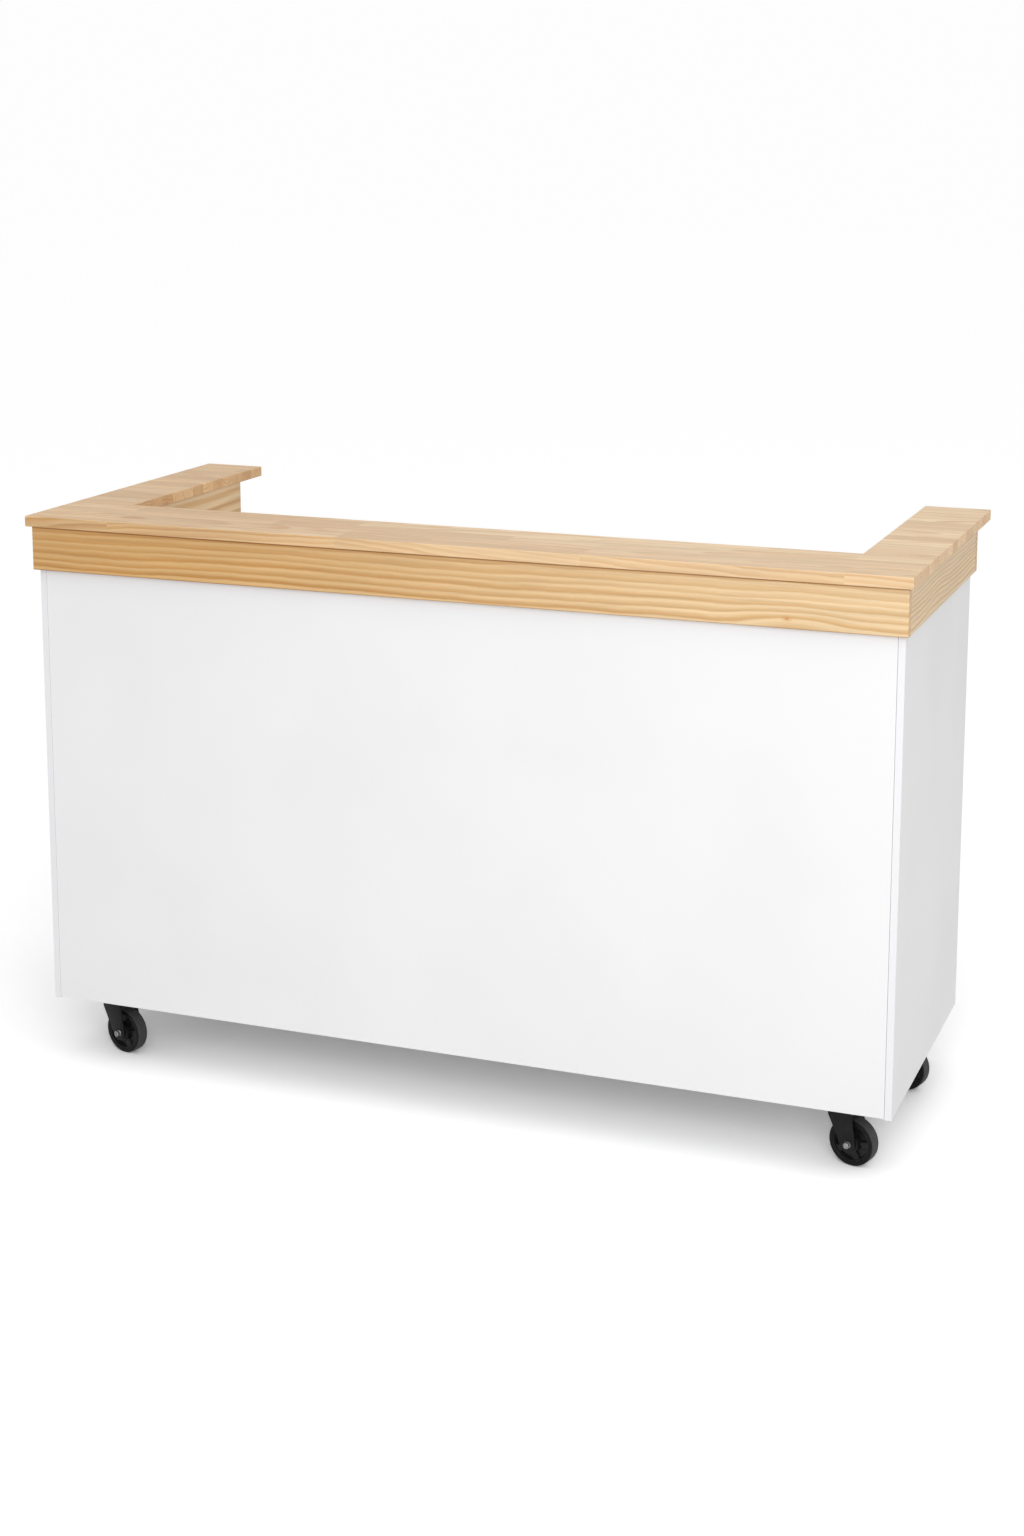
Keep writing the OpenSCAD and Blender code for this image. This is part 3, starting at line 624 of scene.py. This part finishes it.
def stave_pine(name, board):
    """Each length of stave has its own place in the trunk, slant and tint."""
    finish = Finish(name)
    x, y, z = finish.along()
    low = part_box("counter_top")[0]
    rows = (y - low.y) / STAVE_W
    row = rows.floor()
    finger = ((y / FINGER_W).fraction() - 0.5).size() * (2 * FINGER_LENGTH / STAVE_LENGTH)
    lengths = x / STAVE_LENGTH + finish.chance(row, STAVE_SEED)[0] + finger
    first, second, third = finish.chance(row, lengths.floor())
    across = rows.fraction() - 0.5
    lengthwise = lengths.fraction() - 0.5
    v = across * STAVE_W + (first - 0.5) * PITH_SPREAD_Y
    w = z - low.z + (second - 0.5) * PITH_SPREAD_Z + lengthwise * (third - 0.5) * STAVE_SLANT
    base, relief = pine_figure(finish, x + third * TRUNK_SPREAD, v, w, board)
    facing = finish.facing()
    end = facing[ALONG_X].step(*TURNED)
    side = facing[ALONG_Y].step(*TURNED)
    base = finish.blend(PALE_LEAST + PALE_RANGE * third, base, STAVE_PALE)
    # Painted light on the staves' edges and end grain
    base = finish.dim(base, STAVE_LIGHT + SIDE_PAINTED_LIGHT * side + END_PAINTED_LIGHT * end)
    base = finish.tint(end * second ** DARK_END_RARITY, base, END_TINT)
    # Less of the stave's tint on its edges: painted light
    base = finish.tint(third * third * (STAVE_TINT_TOP - side * STAVE_TINT_SIDE_LESS), base, STAVE_TINT)
    streak = lumps(finish, x, y, z, STAVE_STREAK, second * TRUNK_SPREAD)
    base = finish.dim(base, STAVE_STREAK_LEAST + STAVE_STREAK_RANGE * streak)
    # Painted shade towards the counter's left end
    base = finish.tint(x.step(SHADY_FROM, SHADY_TO) * (1.0 - SHADY_END_LESS * end), base, SHADY_TINT)
    joint = across.size().step(*GLUE_LINE).either(lengthwise.size().step(*FINGER_LINE))
    base = finish.tint(joint * JOINT_SHARE, base, JOINT_TINT)
    return lacquered(finish, base, relief, board.grain)


def whole_copy(node):
    """A copy of a CAD node's mesh with whole faces in place of its triangles."""
    mesh = merged_copy(node)
    return made_whole(mesh, mesh.edges[:])


def counter_board():
    """The outline of the solid's top face, drawn down to the board's thickness."""
    low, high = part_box("counter_top")
    mesh = whole_copy("counter_top")
    top = max(mesh.faces, key=lambda face: face.calc_center_median().z)
    bmesh.ops.delete(mesh, geom=[face for face in mesh.faces if face != top], context="FACES")
    lower = bmesh.ops.extrude_face_region(mesh, geom=mesh.faces[:], use_keep_orig=True)["geom"]
    verts = [item for item in lower if isinstance(item, bmesh.types.BMVert)]
    bmesh.ops.translate(mesh, vec=(0, 0, low.z - high.z), verts=verts)
    bmesh.ops.recalc_face_normals(mesh, faces=mesh.faces[:])
    ease(mesh, mesh.edges[:], COUNTER_ARRIS)
    return mesh


add_piece("counter_top_lacquered", counter_board(), "cabinet",
          [stave_pine("pine_staves", STAVE_BOARD)], ["counter_top"])


# Battens, glue blocks and dowels
# Beech battens line the ledge at its top and bottom, with a glue block in each corner, and round
# dowels hold the front panel and the divider. All of it is planed, and left bare where no hand comes.
BEECH_PALE = colour(216, 178, 138)
BEECH_DARK = colour(176, 128, 88)
BEECH_FIBRE = Lumps(30, 900, 3.0)
BEECH_FLECK = Lumps(260, 1400, 1.0)
BEECH_FLECK_RISE = (0.60, 0.68)
BEECH_BAND = Lumps(2, 60, 2.0)
BEECH_BAND_SHARE = 0.30
BEECH_FIBRE_SHARE = 0.35
BEECH_FLECK_SHARE = 0.45
BEECH_ROUGH = 0.62
BEECH_ROUGHER = 0.12
BEECH_DEPTH = 0.00015
BATTEN_ARRIS = 0.0006
SHARP = math.radians(30)


def bare_beech(name, grain):
    """Planed beech: fine fibre along the grain, and short dark flecks."""
    finish = Finish(name)
    axes = finish.along()
    u = axes.pop(grain)
    v, w = axes
    band = lumps(finish, u, v, w, BEECH_BAND)
    fibre = lumps(finish, u, v, w, BEECH_FIBRE)
    fleck = lumps(finish, u, v, w, BEECH_FLECK).step(*BEECH_FLECK_RISE)
    dark = BEECH_BAND_SHARE * band + BEECH_FIBRE_SHARE * fibre + BEECH_FLECK_SHARE * fleck
    base = finish.blend(dark, BEECH_PALE, BEECH_DARK)
    return finish.surface(Base_Color=base, Roughness=BEECH_ROUGH + BEECH_ROUGHER * fibre,
                          Normal=finish.bump(fibre, BEECH_DEPTH))


def soften(mesh):
    """Shades round surfaces as round, and keeps the edges of flat ones crisp."""
    for face in mesh.faces:
        face.smooth = True
    for edge in mesh.edges:
        edge.smooth = len(edge.link_faces) == 2 and edge.calc_face_angle() < SHARP


def eased(mesh, arris):
    """The mesh with its sharp edges rounded, but for those where two pieces touch."""
    free = [edge for edge in mesh.edges if all(vert.is_manifold for vert in edge.verts)]
    ease(mesh, [edge for edge in free if edge.calc_face_angle() > SHARP], arris, segments=2)
    soften(mesh)
    return mesh


beech_lengthwise = bare_beech("beech_lengthwise", ALONG_X)
beech_upright = bare_beech("beech_upright", ALONG_Z)
for node, finish in (("upper_cleats", beech_lengthwise), ("lower_cleats", beech_lengthwise),
                     ("corner_blocks", beech_upright), ("dowels", beech_upright)):
    add_piece(node + "_planed", eased(whole_copy(node), BATTEN_ARRIS), "cabinet", [finish], [node])


# Cam fittings, screws and shelf pegs
# Die-cast cam locks with a cross recess sit flush in the worktop and the base. Countersunk wood screws
# run up into the ledge and the counter, and turned pegs carry the shelves. All are bright zinc.
ZINC_BRIGHT = (0.66, 0.67, 0.69, 1.0)
ZINC_DULL = (0.50, 0.52, 0.56, 1.0)
CLOUD_PER_M = 240
CLOUD_RISE = (0.35, 0.75)
MARK_PER_M = 2600
MARK_UPRIGHT_PER_M = 900
MARK_DEPTH = 0.00002
ZINC_ROUGH = 0.24
ZINC_ROUGHER = 0.22
LATHE_STEPS = 48
LATHE_JOIN = 1e-7
CROSS_ARM = 0.0026
CROSS_SLOT = 0.0007
CROSS_DEPTH = 0.0022
CROSS_TAPER = 0.6
CAM_CROSS = 1.3
CAM_ARRIS = 0.0004
CAM_SLACK = 0.001
PIN_ARRIS = 0.0005
SCREW_HEAD_H = 0.0034
SCREW_SHANK_SHARE = 0.5
SCREW_TIP = 0.006
THREAD_PITCH = 0.0026
THREAD_ROOT_SHARE = 0.76
PEG_HEAD_H = 0.010
PEG_PIN_SHARE = 0.625
PEG_ARRIS = 0.0008


def zinc(name, bright, dull):
    """Bright zinc plating: a cool silver with cloudy patches and fine drawing marks."""
    finish = Finish(name)
    cloud = finish.mottle(CLOUD_PER_M, detail=3.0)
    mark = finish.mottle(MARK_PER_M, upright_per_metre=MARK_UPRIGHT_PER_M)
    base = finish.blend(cloud.step(*CLOUD_RISE), bright, dull)
    return finish.surface(Base_Color=base, Metallic=1.0, Roughness=ZINC_ROUGH + ZINC_ROUGHER * cloud,
                          Normal=finish.bump(mark, MARK_DEPTH))


def lathe(outline, steps=LATHE_STEPS):
    """Turns an outline of (radius, height) points about Z."""
    mesh = bmesh.new()
    points = [mesh.verts.new((radius, 0, height)) for radius, height in outline]
    edges = [mesh.edges.new(pair) for pair in zip(points, points[1:])]
    bmesh.ops.spin(mesh, geom=points + edges, cent=(0, 0, 0), axis=(0, 0, 1), angle=2 * math.pi, steps=steps,
                   use_merge=True)
    bmesh.ops.remove_doubles(mesh, verts=mesh.verts[:], dist=LATHE_JOIN)
    bmesh.ops.recalc_face_normals(mesh, faces=mesh.faces[:])
    return mesh


def cross_recess(mesh, scale=1.0):
    """Closes the open round top of a turned head with a face that has a cross recess in it."""
    rim = [edge for edge in mesh.edges if edge.is_boundary]
    top = rim[0].verts[0].co.z
    corners = [(CROSS_ARM, -CROSS_SLOT), (CROSS_ARM, CROSS_SLOT), (CROSS_SLOT, CROSS_SLOT)]
    cross = []
    for quarter in range(4):
        turned = Matrix.Rotation(quarter * math.pi / 2, 3, "Z")
        cross += [mesh.verts.new(turned @ Vector((x * scale, y * scale, top))) for x, y in corners]
    edges = [mesh.edges.new((cross[i - 1], cross[i])) for i in range(len(cross))]
    bmesh.ops.triangle_fill(mesh, use_beauty=True, edges=rim + edges, normal=(0, 0, 1))
    walls = bmesh.ops.extrude_edge_only(mesh, edges=edges)["geom"]
    bottom = [item for item in walls if isinstance(item, bmesh.types.BMVert)]
    bmesh.ops.scale(mesh, vec=(CROSS_TAPER, CROSS_TAPER, 1), verts=bottom)
    bmesh.ops.translate(mesh, vec=(0, 0, -CROSS_DEPTH * scale), verts=bottom)
    floor_edges = [item for item in walls if isinstance(item, bmesh.types.BMEdge)]
    bmesh.ops.edgeloop_fill(mesh, edges=[e for e in floor_edges if all(v in bottom for v in e.verts)])
    bmesh.ops.recalc_face_normals(mesh, faces=mesh.faces[:])
    return mesh


def solids_of(node):
    """The box of each separate solid in a CAD node, in the order of the node's corners."""
    mesh = merged_copy(node)
    boxes = []
    left = set(mesh.verts)
    for start in mesh.verts:
        if start not in left:
            continue
        left.remove(start)
        fringe = [start]
        part = [start]
        while fringe:
            linked = {vert for edge in fringe.pop().link_edges for vert in edge.verts} & left
            left -= linked
            fringe += linked
            part += linked
        boxes.append((Vector([min(v.co[axis] for v in part) for axis in range(3)]),
                      Vector([max(v.co[axis] for v in part) for axis in range(3)])))
    mesh.free()
    return boxes


def size_of(box):
    """The lengths of a box along x, y and z."""
    low, high = box
    return high - low


def middle(low, high, end):
    """The middle of a box's bottom or top."""
    centre = (low + high) / 2
    return Matrix.Translation((centre.x, centre.y, end.z))


def placed(*parts):
    """One mesh out of pairs of a mesh and the places where it is wanted."""
    whole = bmesh.new()
    for part, places in parts:
        pattern = bpy.data.meshes.new("pattern")
        part.to_mesh(pattern)
        part.free()
        for place in places:
            known = set(whole.verts)
            whole.from_mesh(pattern)
            bmesh.ops.transform(whole, matrix=place, verts=[v for v in whole.verts if v not in known])
        bpy.data.meshes.remove(pattern)
    return whole


def cam_lock(size):
    """A round lock with a cross recess, made with its face up, at z = 0."""
    radius = size.x / 2
    outline = [(0, -size.z), (radius, -size.z), (radius, -CAM_ARRIS), (radius - CAM_ARRIS, 0)]
    return cross_recess(lathe(outline), CAM_CROSS)


def wood_screw(size):
    """Made with its flat head up, at z = 0, over a threaded shank."""
    radius = size.x / 2
    core = radius * SCREW_SHANK_SHARE
    root = core * THREAD_ROOT_SHARE
    tip = SCREW_TIP - size.z
    outline = [(0, -size.z), (root, tip)]
    for thread in range(int((size.z - SCREW_TIP - 2 * SCREW_HEAD_H) / THREAD_PITCH)):
        z = tip + (thread + 0.5) * THREAD_PITCH
        outline += [(core, z), (root, z + THREAD_PITCH / 2)]
    outline += [(core, -2 * SCREW_HEAD_H), (core, -SCREW_HEAD_H), (radius, -CAM_ARRIS), (radius, 0)]
    return cross_recess(lathe(outline, LATHE_STEPS // 2))


def shelf_peg(size):
    """Made along Z, with its head above z = 0 and its shank below."""
    radius = size.z / 2
    shank = size.x - PEG_HEAD_H
    pin = radius * PEG_PIN_SHARE
    outline = [(0, -shank), (pin, -shank), (pin, 0), (radius, 0), (radius, PEG_HEAD_H), (0, PEG_HEAD_H)]
    return eased(lathe(outline), PEG_ARRIS)


zinc_finish = zinc("bright_zinc", ZINC_BRIGHT, ZINC_DULL)
upside_down = Matrix.Rotation(math.pi, 4, "X")


def add_zinc(name, mesh, node):
    """A plated piece that stays with the cabinet."""
    soften(mesh)
    add_piece(name, mesh, "cabinet", [zinc_finish], [node])


locks = solids_of("cam_locks")
worktop_low, worktop_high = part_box("worktop")
lock_places = []
for low, high in locks:
    if low.z >= worktop_low.z - CAM_SLACK:
        lock_places.append(middle(low, high, low) @ upside_down)
    else:
        lock_places.append(middle(low, high, high))
add_zinc("cam_locks_cast", placed((cam_lock(size_of(locks[0])), lock_places)), "cam_locks")
add_zinc("cam_pins_turned", eased(whole_copy("cam_pins"), PIN_ARRIS), "cam_pins")
for node in ("counter_screws", "ledge_screws"):
    screws = solids_of(node)
    screw_places = [middle(low, high, low) @ upside_down for low, high in screws]
    add_zinc(node + "_threaded", placed((wood_screw(size_of(screws[0])), screw_places)), node)

pegs = solids_of("shelf_pegs")
peg_places = []
for low, high in pegs:
    centre = (low + high) / 2
    to_side = 1 if centre.x > 0 else -1
    by_divider = abs(centre.x) < worktop_high.x / 2
    points = to_side if by_divider else -to_side
    seat = (high.x if points > 0 else low.x) - points * PEG_HEAD_H
    turned = Matrix.Rotation(points * math.pi / 2, 4, "Y")
    peg_places.append(Matrix.Translation((seat, centre.y, centre.z)) @ turned)
add_zinc("shelf_pegs_turned", placed((shelf_peg(size_of(pegs[0])), peg_places)), "shelf_pegs")


# Caster bolts and nuts
# Four hexagon bolts hold each caster's plate from below, with flanged nuts on top of the base panel.
# Their heads are turned blanks with six flats cut on them, so that each corner has a curved chamfer.
HEX_CROWN_SHARE = 0.97
HEX_CHAMFER_SLOPE = 0.577
BOLT_R = 0.003
BOLT_AF = 0.010
BOLT_HEAD_H = 0.004
BOLT_DIMPLE_SHARE = 0.7
NUT_FLANGE_H = 0.0015
TIP = 0.0008


def hexagon(flats, base, top, bore, sunk):
    """A hexagon about Z whose upper corners are turned off. Its bore goes down from the top to z = sunk."""
    corner = flats / math.sqrt(3)
    crown = flats / 2 * HEX_CROWN_SHARE
    outline = [(0, base), (corner, base), (corner, top - (corner - crown) * HEX_CHAMFER_SLOPE), (crown, top)]
    mesh = lathe(outline + [(bore, top), (bore, sunk), (0, sunk)])
    for side in range(6):
        out = Matrix.Rotation(side * math.pi / 3, 3, "Z") @ Vector((0, 1, 0))
        cut = bmesh.ops.bisect_plane(mesh, geom=mesh.verts[:] + mesh.edges[:] + mesh.faces[:],
                                     plane_co=out * flats / 2, plane_no=out, clear_outer=True)["geom_cut"]
        bmesh.ops.edgeloop_fill(mesh, edges=[item for item in cut if isinstance(item, bmesh.types.BMEdge)])
    bmesh.ops.remove_doubles(mesh, verts=mesh.verts[:], dist=SAME_POINT)
    bmesh.ops.recalc_face_normals(mesh, faces=mesh.faces[:])
    return mesh


def rod(radius, low, high):
    """A round bar along Z with both ends chamfered."""
    return lathe([(0, low), (radius - TIP, low), (radius, low + TIP), (radius, high - TIP),
                  (radius - TIP, high), (0, high)])


bolts = solids_of("caster_bolts")
bolt_places = [middle(low, high, low) for low, high in bolts]
head_places = [place @ Matrix.Translation((0, 0, BOLT_HEAD_H)) @ upside_down for place in bolt_places]
bolt_head = hexagon(BOLT_AF, 0, BOLT_HEAD_H, BOLT_R * BOLT_DIMPLE_SHARE, BOLT_HEAD_H - TIP)
bolt_shank = rod(BOLT_R, BOLT_HEAD_H / 2, size_of(bolts[0]).z)
add_zinc("caster_bolts_turned", placed((bolt_head, head_places), (bolt_shank, bolt_places)), "caster_bolts")

nuts = solids_of("caster_nuts")
nut_size = size_of(nuts[0])
nut_places = [middle(low, high, low) for low, high in nuts]
nut_body = hexagon(BOLT_AF, NUT_FLANGE_H / 2, nut_size.z, BOLT_R, nut_size.z - TIP)
flange_r = nut_size.x / 2
nut_flange = lathe([(0, 0), (flange_r, 0), (flange_r, NUT_FLANGE_H / 2), (BOLT_AF / 2, NUT_FLANGE_H),
                    (0, NUT_FLANGE_H)])
add_zinc("caster_nuts_turned", placed((nut_body, nut_places), (nut_flange, nut_places)), "caster_nuts")


# Casters
# Four swivel casters: a dished plate and a pressed fork in satin black powder coat, turning on a ring of
# balls round a riveted kingpin, and a ribbed black nylon wheel with a rubber tread on a zinc axle bolt.
POWDER_BLACK = grey(0.005)
POWDER_WORN = grey(0.011)
POWDER_ROUGH = 0.34
POWDER_ROUGHER = 0.16
POWDER_SHINE = 0.16
PEEL_PER_M = 700
PEEL_DEPTH = 0.00006
WORN_PER_M = 60
WORN_RISE = (0.45, 0.8)
NYLON_BLACK = grey(0.005)
NYLON_FLOW = grey(0.010)
NYLON_ROUGH = 0.30
NYLON_ROUGHER = 0.14
NYLON_SHINE = 0.25
SKIN_PER_M = 2200
SKIN_DEPTH = 0.00003
FLOW_PER_M = 90
FLOW_RISE = (0.4, 0.8)
SIDE_CLEAN = grey(0.003)
SIDE_DUSTY = grey(0.007)
SIDE_ROUGH = 0.42
SIDE_SHINE = 0.15
TREAD_CLEAN = grey(0.034)
TREAD_DUSTY = (0.088, 0.087, 0.084, 1.0)
TREAD_ROUGH = 0.66
TREAD_SHINE = 0.35
RUBBER_ROUGHER = 0.20
PIT_PER_M = 1500
PIT_DEPTH = 0.00012
DUST_PER_M = 120
DUST_ROUGHNESS = 0.65
DUST_RISE = (0.42, 0.8)
SPECKLE_PER_M = 900
SPECKLE_RISE = (0.4, 0.7)
AXLE_BRIGHT = (0.38, 0.38, 0.37, 1.0)
AXLE_DULL = grey(0.20)
WHEEL_STEPS = 100
PLATE_ARRIS = 0.0004
FORK_ARRIS = 0.0006
BUSH_ARRIS = 0.0003
FORK_HALF = 0.0235
AXLE_R = 0.003
AXLE_AF = 0.010
AXLE_HEAD_H = 0.0055
AXLE_NUT_H = 0.0065
AXLE_FLANGE_R = 0.00625
AXLE_FLANGE_H = 0.0012
AXLE_FLANGE_RIM_SHARE = 0.6
AXLE_FLANGE_TOP_SHARE = 0.94
AXLE_DIMPLE = 0.0015
AXLE_TIP = 0.0015
BUSH_R = 0.0055
BOSS_R = 0.017
BOSS_HALF = 0.0187
RIM_R = 0.0345
RIM_LIP_R = 0.0325
RIM_INNER_R = 0.0315
RIM_HALF = 0.0115
RIM_SLOPE = 0.0006
RIB_HALF = 0.0075
RIB_COUNT = 5
RIB_SHARE = 0.3
WEB_HALF = 0.0025
POCKET_INSET = 0.0011
HUB_ARRIS = 0.0006
WHEEL_R = 0.043
TREAD_HALF = 0.0125
TREAD_ROUND = 0.0035
TREAD_ROUND_STEPS = 6
TREAD_CHAMFER = 0.0010
TREAD_EDGE = 0.0012
JOINTS = {joint["name"]: joint for joint in frame["joints"]}
SWIVELS = [joint["child"] for joint in frame["joints"] if joint["child"].endswith("_swivel")]


def powder_coat(name):
    """Satin black powder coat with a fine orange peel and a little dust in patches."""
    finish = Finish(name)
    peel = finish.mottle(PEEL_PER_M)
    worn = finish.mottle(WORN_PER_M, detail=4.0)
    base = finish.blend(worn.step(*WORN_RISE), POWDER_BLACK, POWDER_WORN)
    return finish.surface(Base_Color=base, Roughness=POWDER_ROUGH + POWDER_ROUGHER * worn,
                          Specular_IOR_Level=POWDER_SHINE, Normal=finish.bump(peel, PEEL_DEPTH))


def moulded_nylon(name):
    """Semi-gloss black nylon with a fine spark-eroded skin and faint flow marks."""
    finish = Finish(name)
    skin = finish.mottle(SKIN_PER_M)
    flow = finish.mottle(FLOW_PER_M, detail=3.0)
    base = finish.blend(flow.step(*FLOW_RISE), NYLON_BLACK, NYLON_FLOW)
    return finish.surface(Base_Color=base, Roughness=NYLON_ROUGH + NYLON_ROUGHER * flow,
                          Specular_IOR_Level=NYLON_SHINE, Normal=finish.bump(skin, SKIN_DEPTH))


def black_rubber(name, clean, dusty, rough, shine):
    """Rubber, finely pitted, with paler dust in patches."""
    finish = Finish(name)
    pits = finish.mottle(PIT_PER_M, detail=3.0)
    dust = finish.mottle(DUST_PER_M, detail=5.0, roughness=DUST_ROUGHNESS)
    speckle = finish.mottle(SPECKLE_PER_M)
    base = finish.blend((dust.step(*DUST_RISE) + speckle.step(*SPECKLE_RISE)) / 2, clean, dusty)
    return finish.surface(Base_Color=base, Roughness=rough + RUBBER_ROUGHER * dust, Specular_IOR_Level=shine,
                          Normal=finish.bump(pits, PIT_DEPTH))


def mirrored_ring(half):
    """A closed outline from its upper half, listed from the bore outwards."""
    return half + [(radius, -height) for radius, height in reversed(half)] + half[:1]


def wheel():
    """A hub with pockets between its ribs, on both sides of a thin web."""
    outline = [(BUSH_R, BOSS_HALF), (BOSS_R, BOSS_HALF), (BOSS_R, RIB_HALF), (RIM_INNER_R, RIB_HALF),
               (RIM_LIP_R, RIB_HALF + RIM_SLOPE), (RIM_LIP_R, RIM_HALF), (RIM_R, RIM_HALF)]
    mesh = lathe(mirrored_ring(outline), WHEEL_STEPS)
    sector = 360 / RIB_COUNT
    for side in (1, -1):
        pockets = {}
        for face in mesh.faces:
            centre = face.calc_center_median()
            radius = math.hypot(centre.x, centre.y)
            angle = math.degrees(math.atan2(centre.y, centre.x)) + sector * RIB_SHARE / 2
            on_disc = abs(centre.z - side * RIB_HALF) < SAME_PLANE and BOSS_R < radius < RIM_INNER_R
            if on_disc and angle % sector > sector * RIB_SHARE:
                pockets.setdefault(angle // sector, []).append(face)
        for faces in pockets.values():
            bmesh.ops.inset_region(mesh, faces=faces, thickness=POCKET_INSET, use_even_offset=True)
            floor_verts = {vert for face in faces for vert in face.verts}
            bmesh.ops.translate(mesh, vec=(0, 0, side * (WEB_HALF - RIB_HALF)), verts=list(floor_verts))
    return eased(mesh, HUB_ARRIS)


def tyre():
    """A tread with rounded shoulders, moulded over the rim."""
    outline = [(RIM_R, TREAD_HALF - TREAD_CHAMFER), (RIM_R + TREAD_CHAMFER, TREAD_HALF)]
    for step in range(TREAD_ROUND_STEPS + 1):
        angle = math.pi / 2 * (1 - step / TREAD_ROUND_STEPS)
        outline.append((WHEEL_R - TREAD_ROUND + TREAD_ROUND * math.cos(angle),
                        TREAD_HALF - TREAD_ROUND + TREAD_ROUND * math.sin(angle)))
    mesh = lathe(mirrored_ring(outline), WHEEL_STEPS)
    for face in mesh.faces:
        face.material_index = int(all(v.co.xy.length > WHEEL_R - TREAD_EDGE for v in face.verts))
    soften(mesh)
    return mesh


def axle_bolt():
    """A bolt head in front and a flanged nut behind, on a plain shank."""
    head_top = AXLE_FLANGE_H + AXLE_HEAD_H
    nut_end = AXLE_FLANGE_H + AXLE_NUT_H
    front = Matrix.Translation((0, 0, FORK_HALF))
    back = Matrix.Translation((0, 0, -FORK_HALF)) @ upside_down
    flange = lathe([(0, 0), (AXLE_FLANGE_R, 0), (AXLE_FLANGE_R, AXLE_FLANGE_H * AXLE_FLANGE_RIM_SHARE),
                    (AXLE_FLANGE_R * AXLE_FLANGE_TOP_SHARE, AXLE_FLANGE_H), (0, AXLE_FLANGE_H)])
    head = hexagon(AXLE_AF, AXLE_FLANGE_H, head_top, AXLE_R, head_top - AXLE_DIMPLE)
    nut = hexagon(AXLE_AF, AXLE_FLANGE_H, nut_end, AXLE_R, nut_end - TIP)
    shank = rod(AXLE_R, -FORK_HALF - nut_end - AXLE_TIP, FORK_HALF)
    mesh = placed((flange, [front, back]), (head, [front]), (nut, [back]), (shank, [Matrix.Identity(4)]))
    soften(mesh)
    return mesh


powder = powder_coat("black_powder_coat")
nylon = moulded_nylon("black_nylon")
side_rubber = black_rubber("side_rubber", SIDE_CLEAN, SIDE_DUSTY, SIDE_ROUGH, SIDE_SHINE)
tread_rubber = black_rubber("tread_rubber", TREAD_CLEAN, TREAD_DUSTY, TREAD_ROUGH, TREAD_SHINE)
axle_zinc = zinc("axle_zinc", AXLE_BRIGHT, AXLE_DULL)
for swivel in SWIVELS:
    corner = swivel.removesuffix("_swivel")
    rolling = corner + "_wheel"
    roll = JOINTS[rolling + "_roll"]
    forward = -Vector(roll["axis"])
    up = Vector((0, 0, 1))
    turned = Matrix((up.cross(forward), up, forward)).transposed().to_4x4()
    on_axle = Matrix.Translation(roll["pos_m"]) @ turned
    balls = whole_copy(corner + "_swivel_balls")
    soften(balls)
    add_piece(corner + "_plate_shaped", eased(whole_copy(corner + "_plate"), PLATE_ARRIS), "cabinet",
              [powder], [corner + "_plate"])
    add_piece(corner + "_kingpin_shaped", eased(whole_copy(corner + "_kingpin"), PLATE_ARRIS), "cabinet",
              [zinc_finish], [corner + "_kingpin"])
    add_piece(corner + "_swivel_balls_shaped", balls, "cabinet", [zinc_finish],
              [corner + "_swivel_balls"])
    add_piece(corner + "_fork_shaped", eased(whole_copy(corner + "_fork"), FORK_ARRIS), swivel,
              [powder], [corner + "_fork"])
    add_piece(corner + "_axle_bolt", placed((axle_bolt(), [on_axle])), swivel, [axle_zinc],
              [corner + "_axle"])
    add_piece(corner + "_hub_moulded", placed((wheel(), [on_axle])), rolling, [nylon],
              [corner + "_wheel_hub"])
    add_piece(corner + "_tyre_moulded", placed((tyre(), [on_axle])), rolling,
              [side_rubber, tread_rubber], [corner + "_tyre"])
    add_piece(corner + "_bush_turned", eased(whole_copy(corner + "_bush"), BUSH_ARRIS), rolling,
              [zinc_finish], [corner + "_bush"])
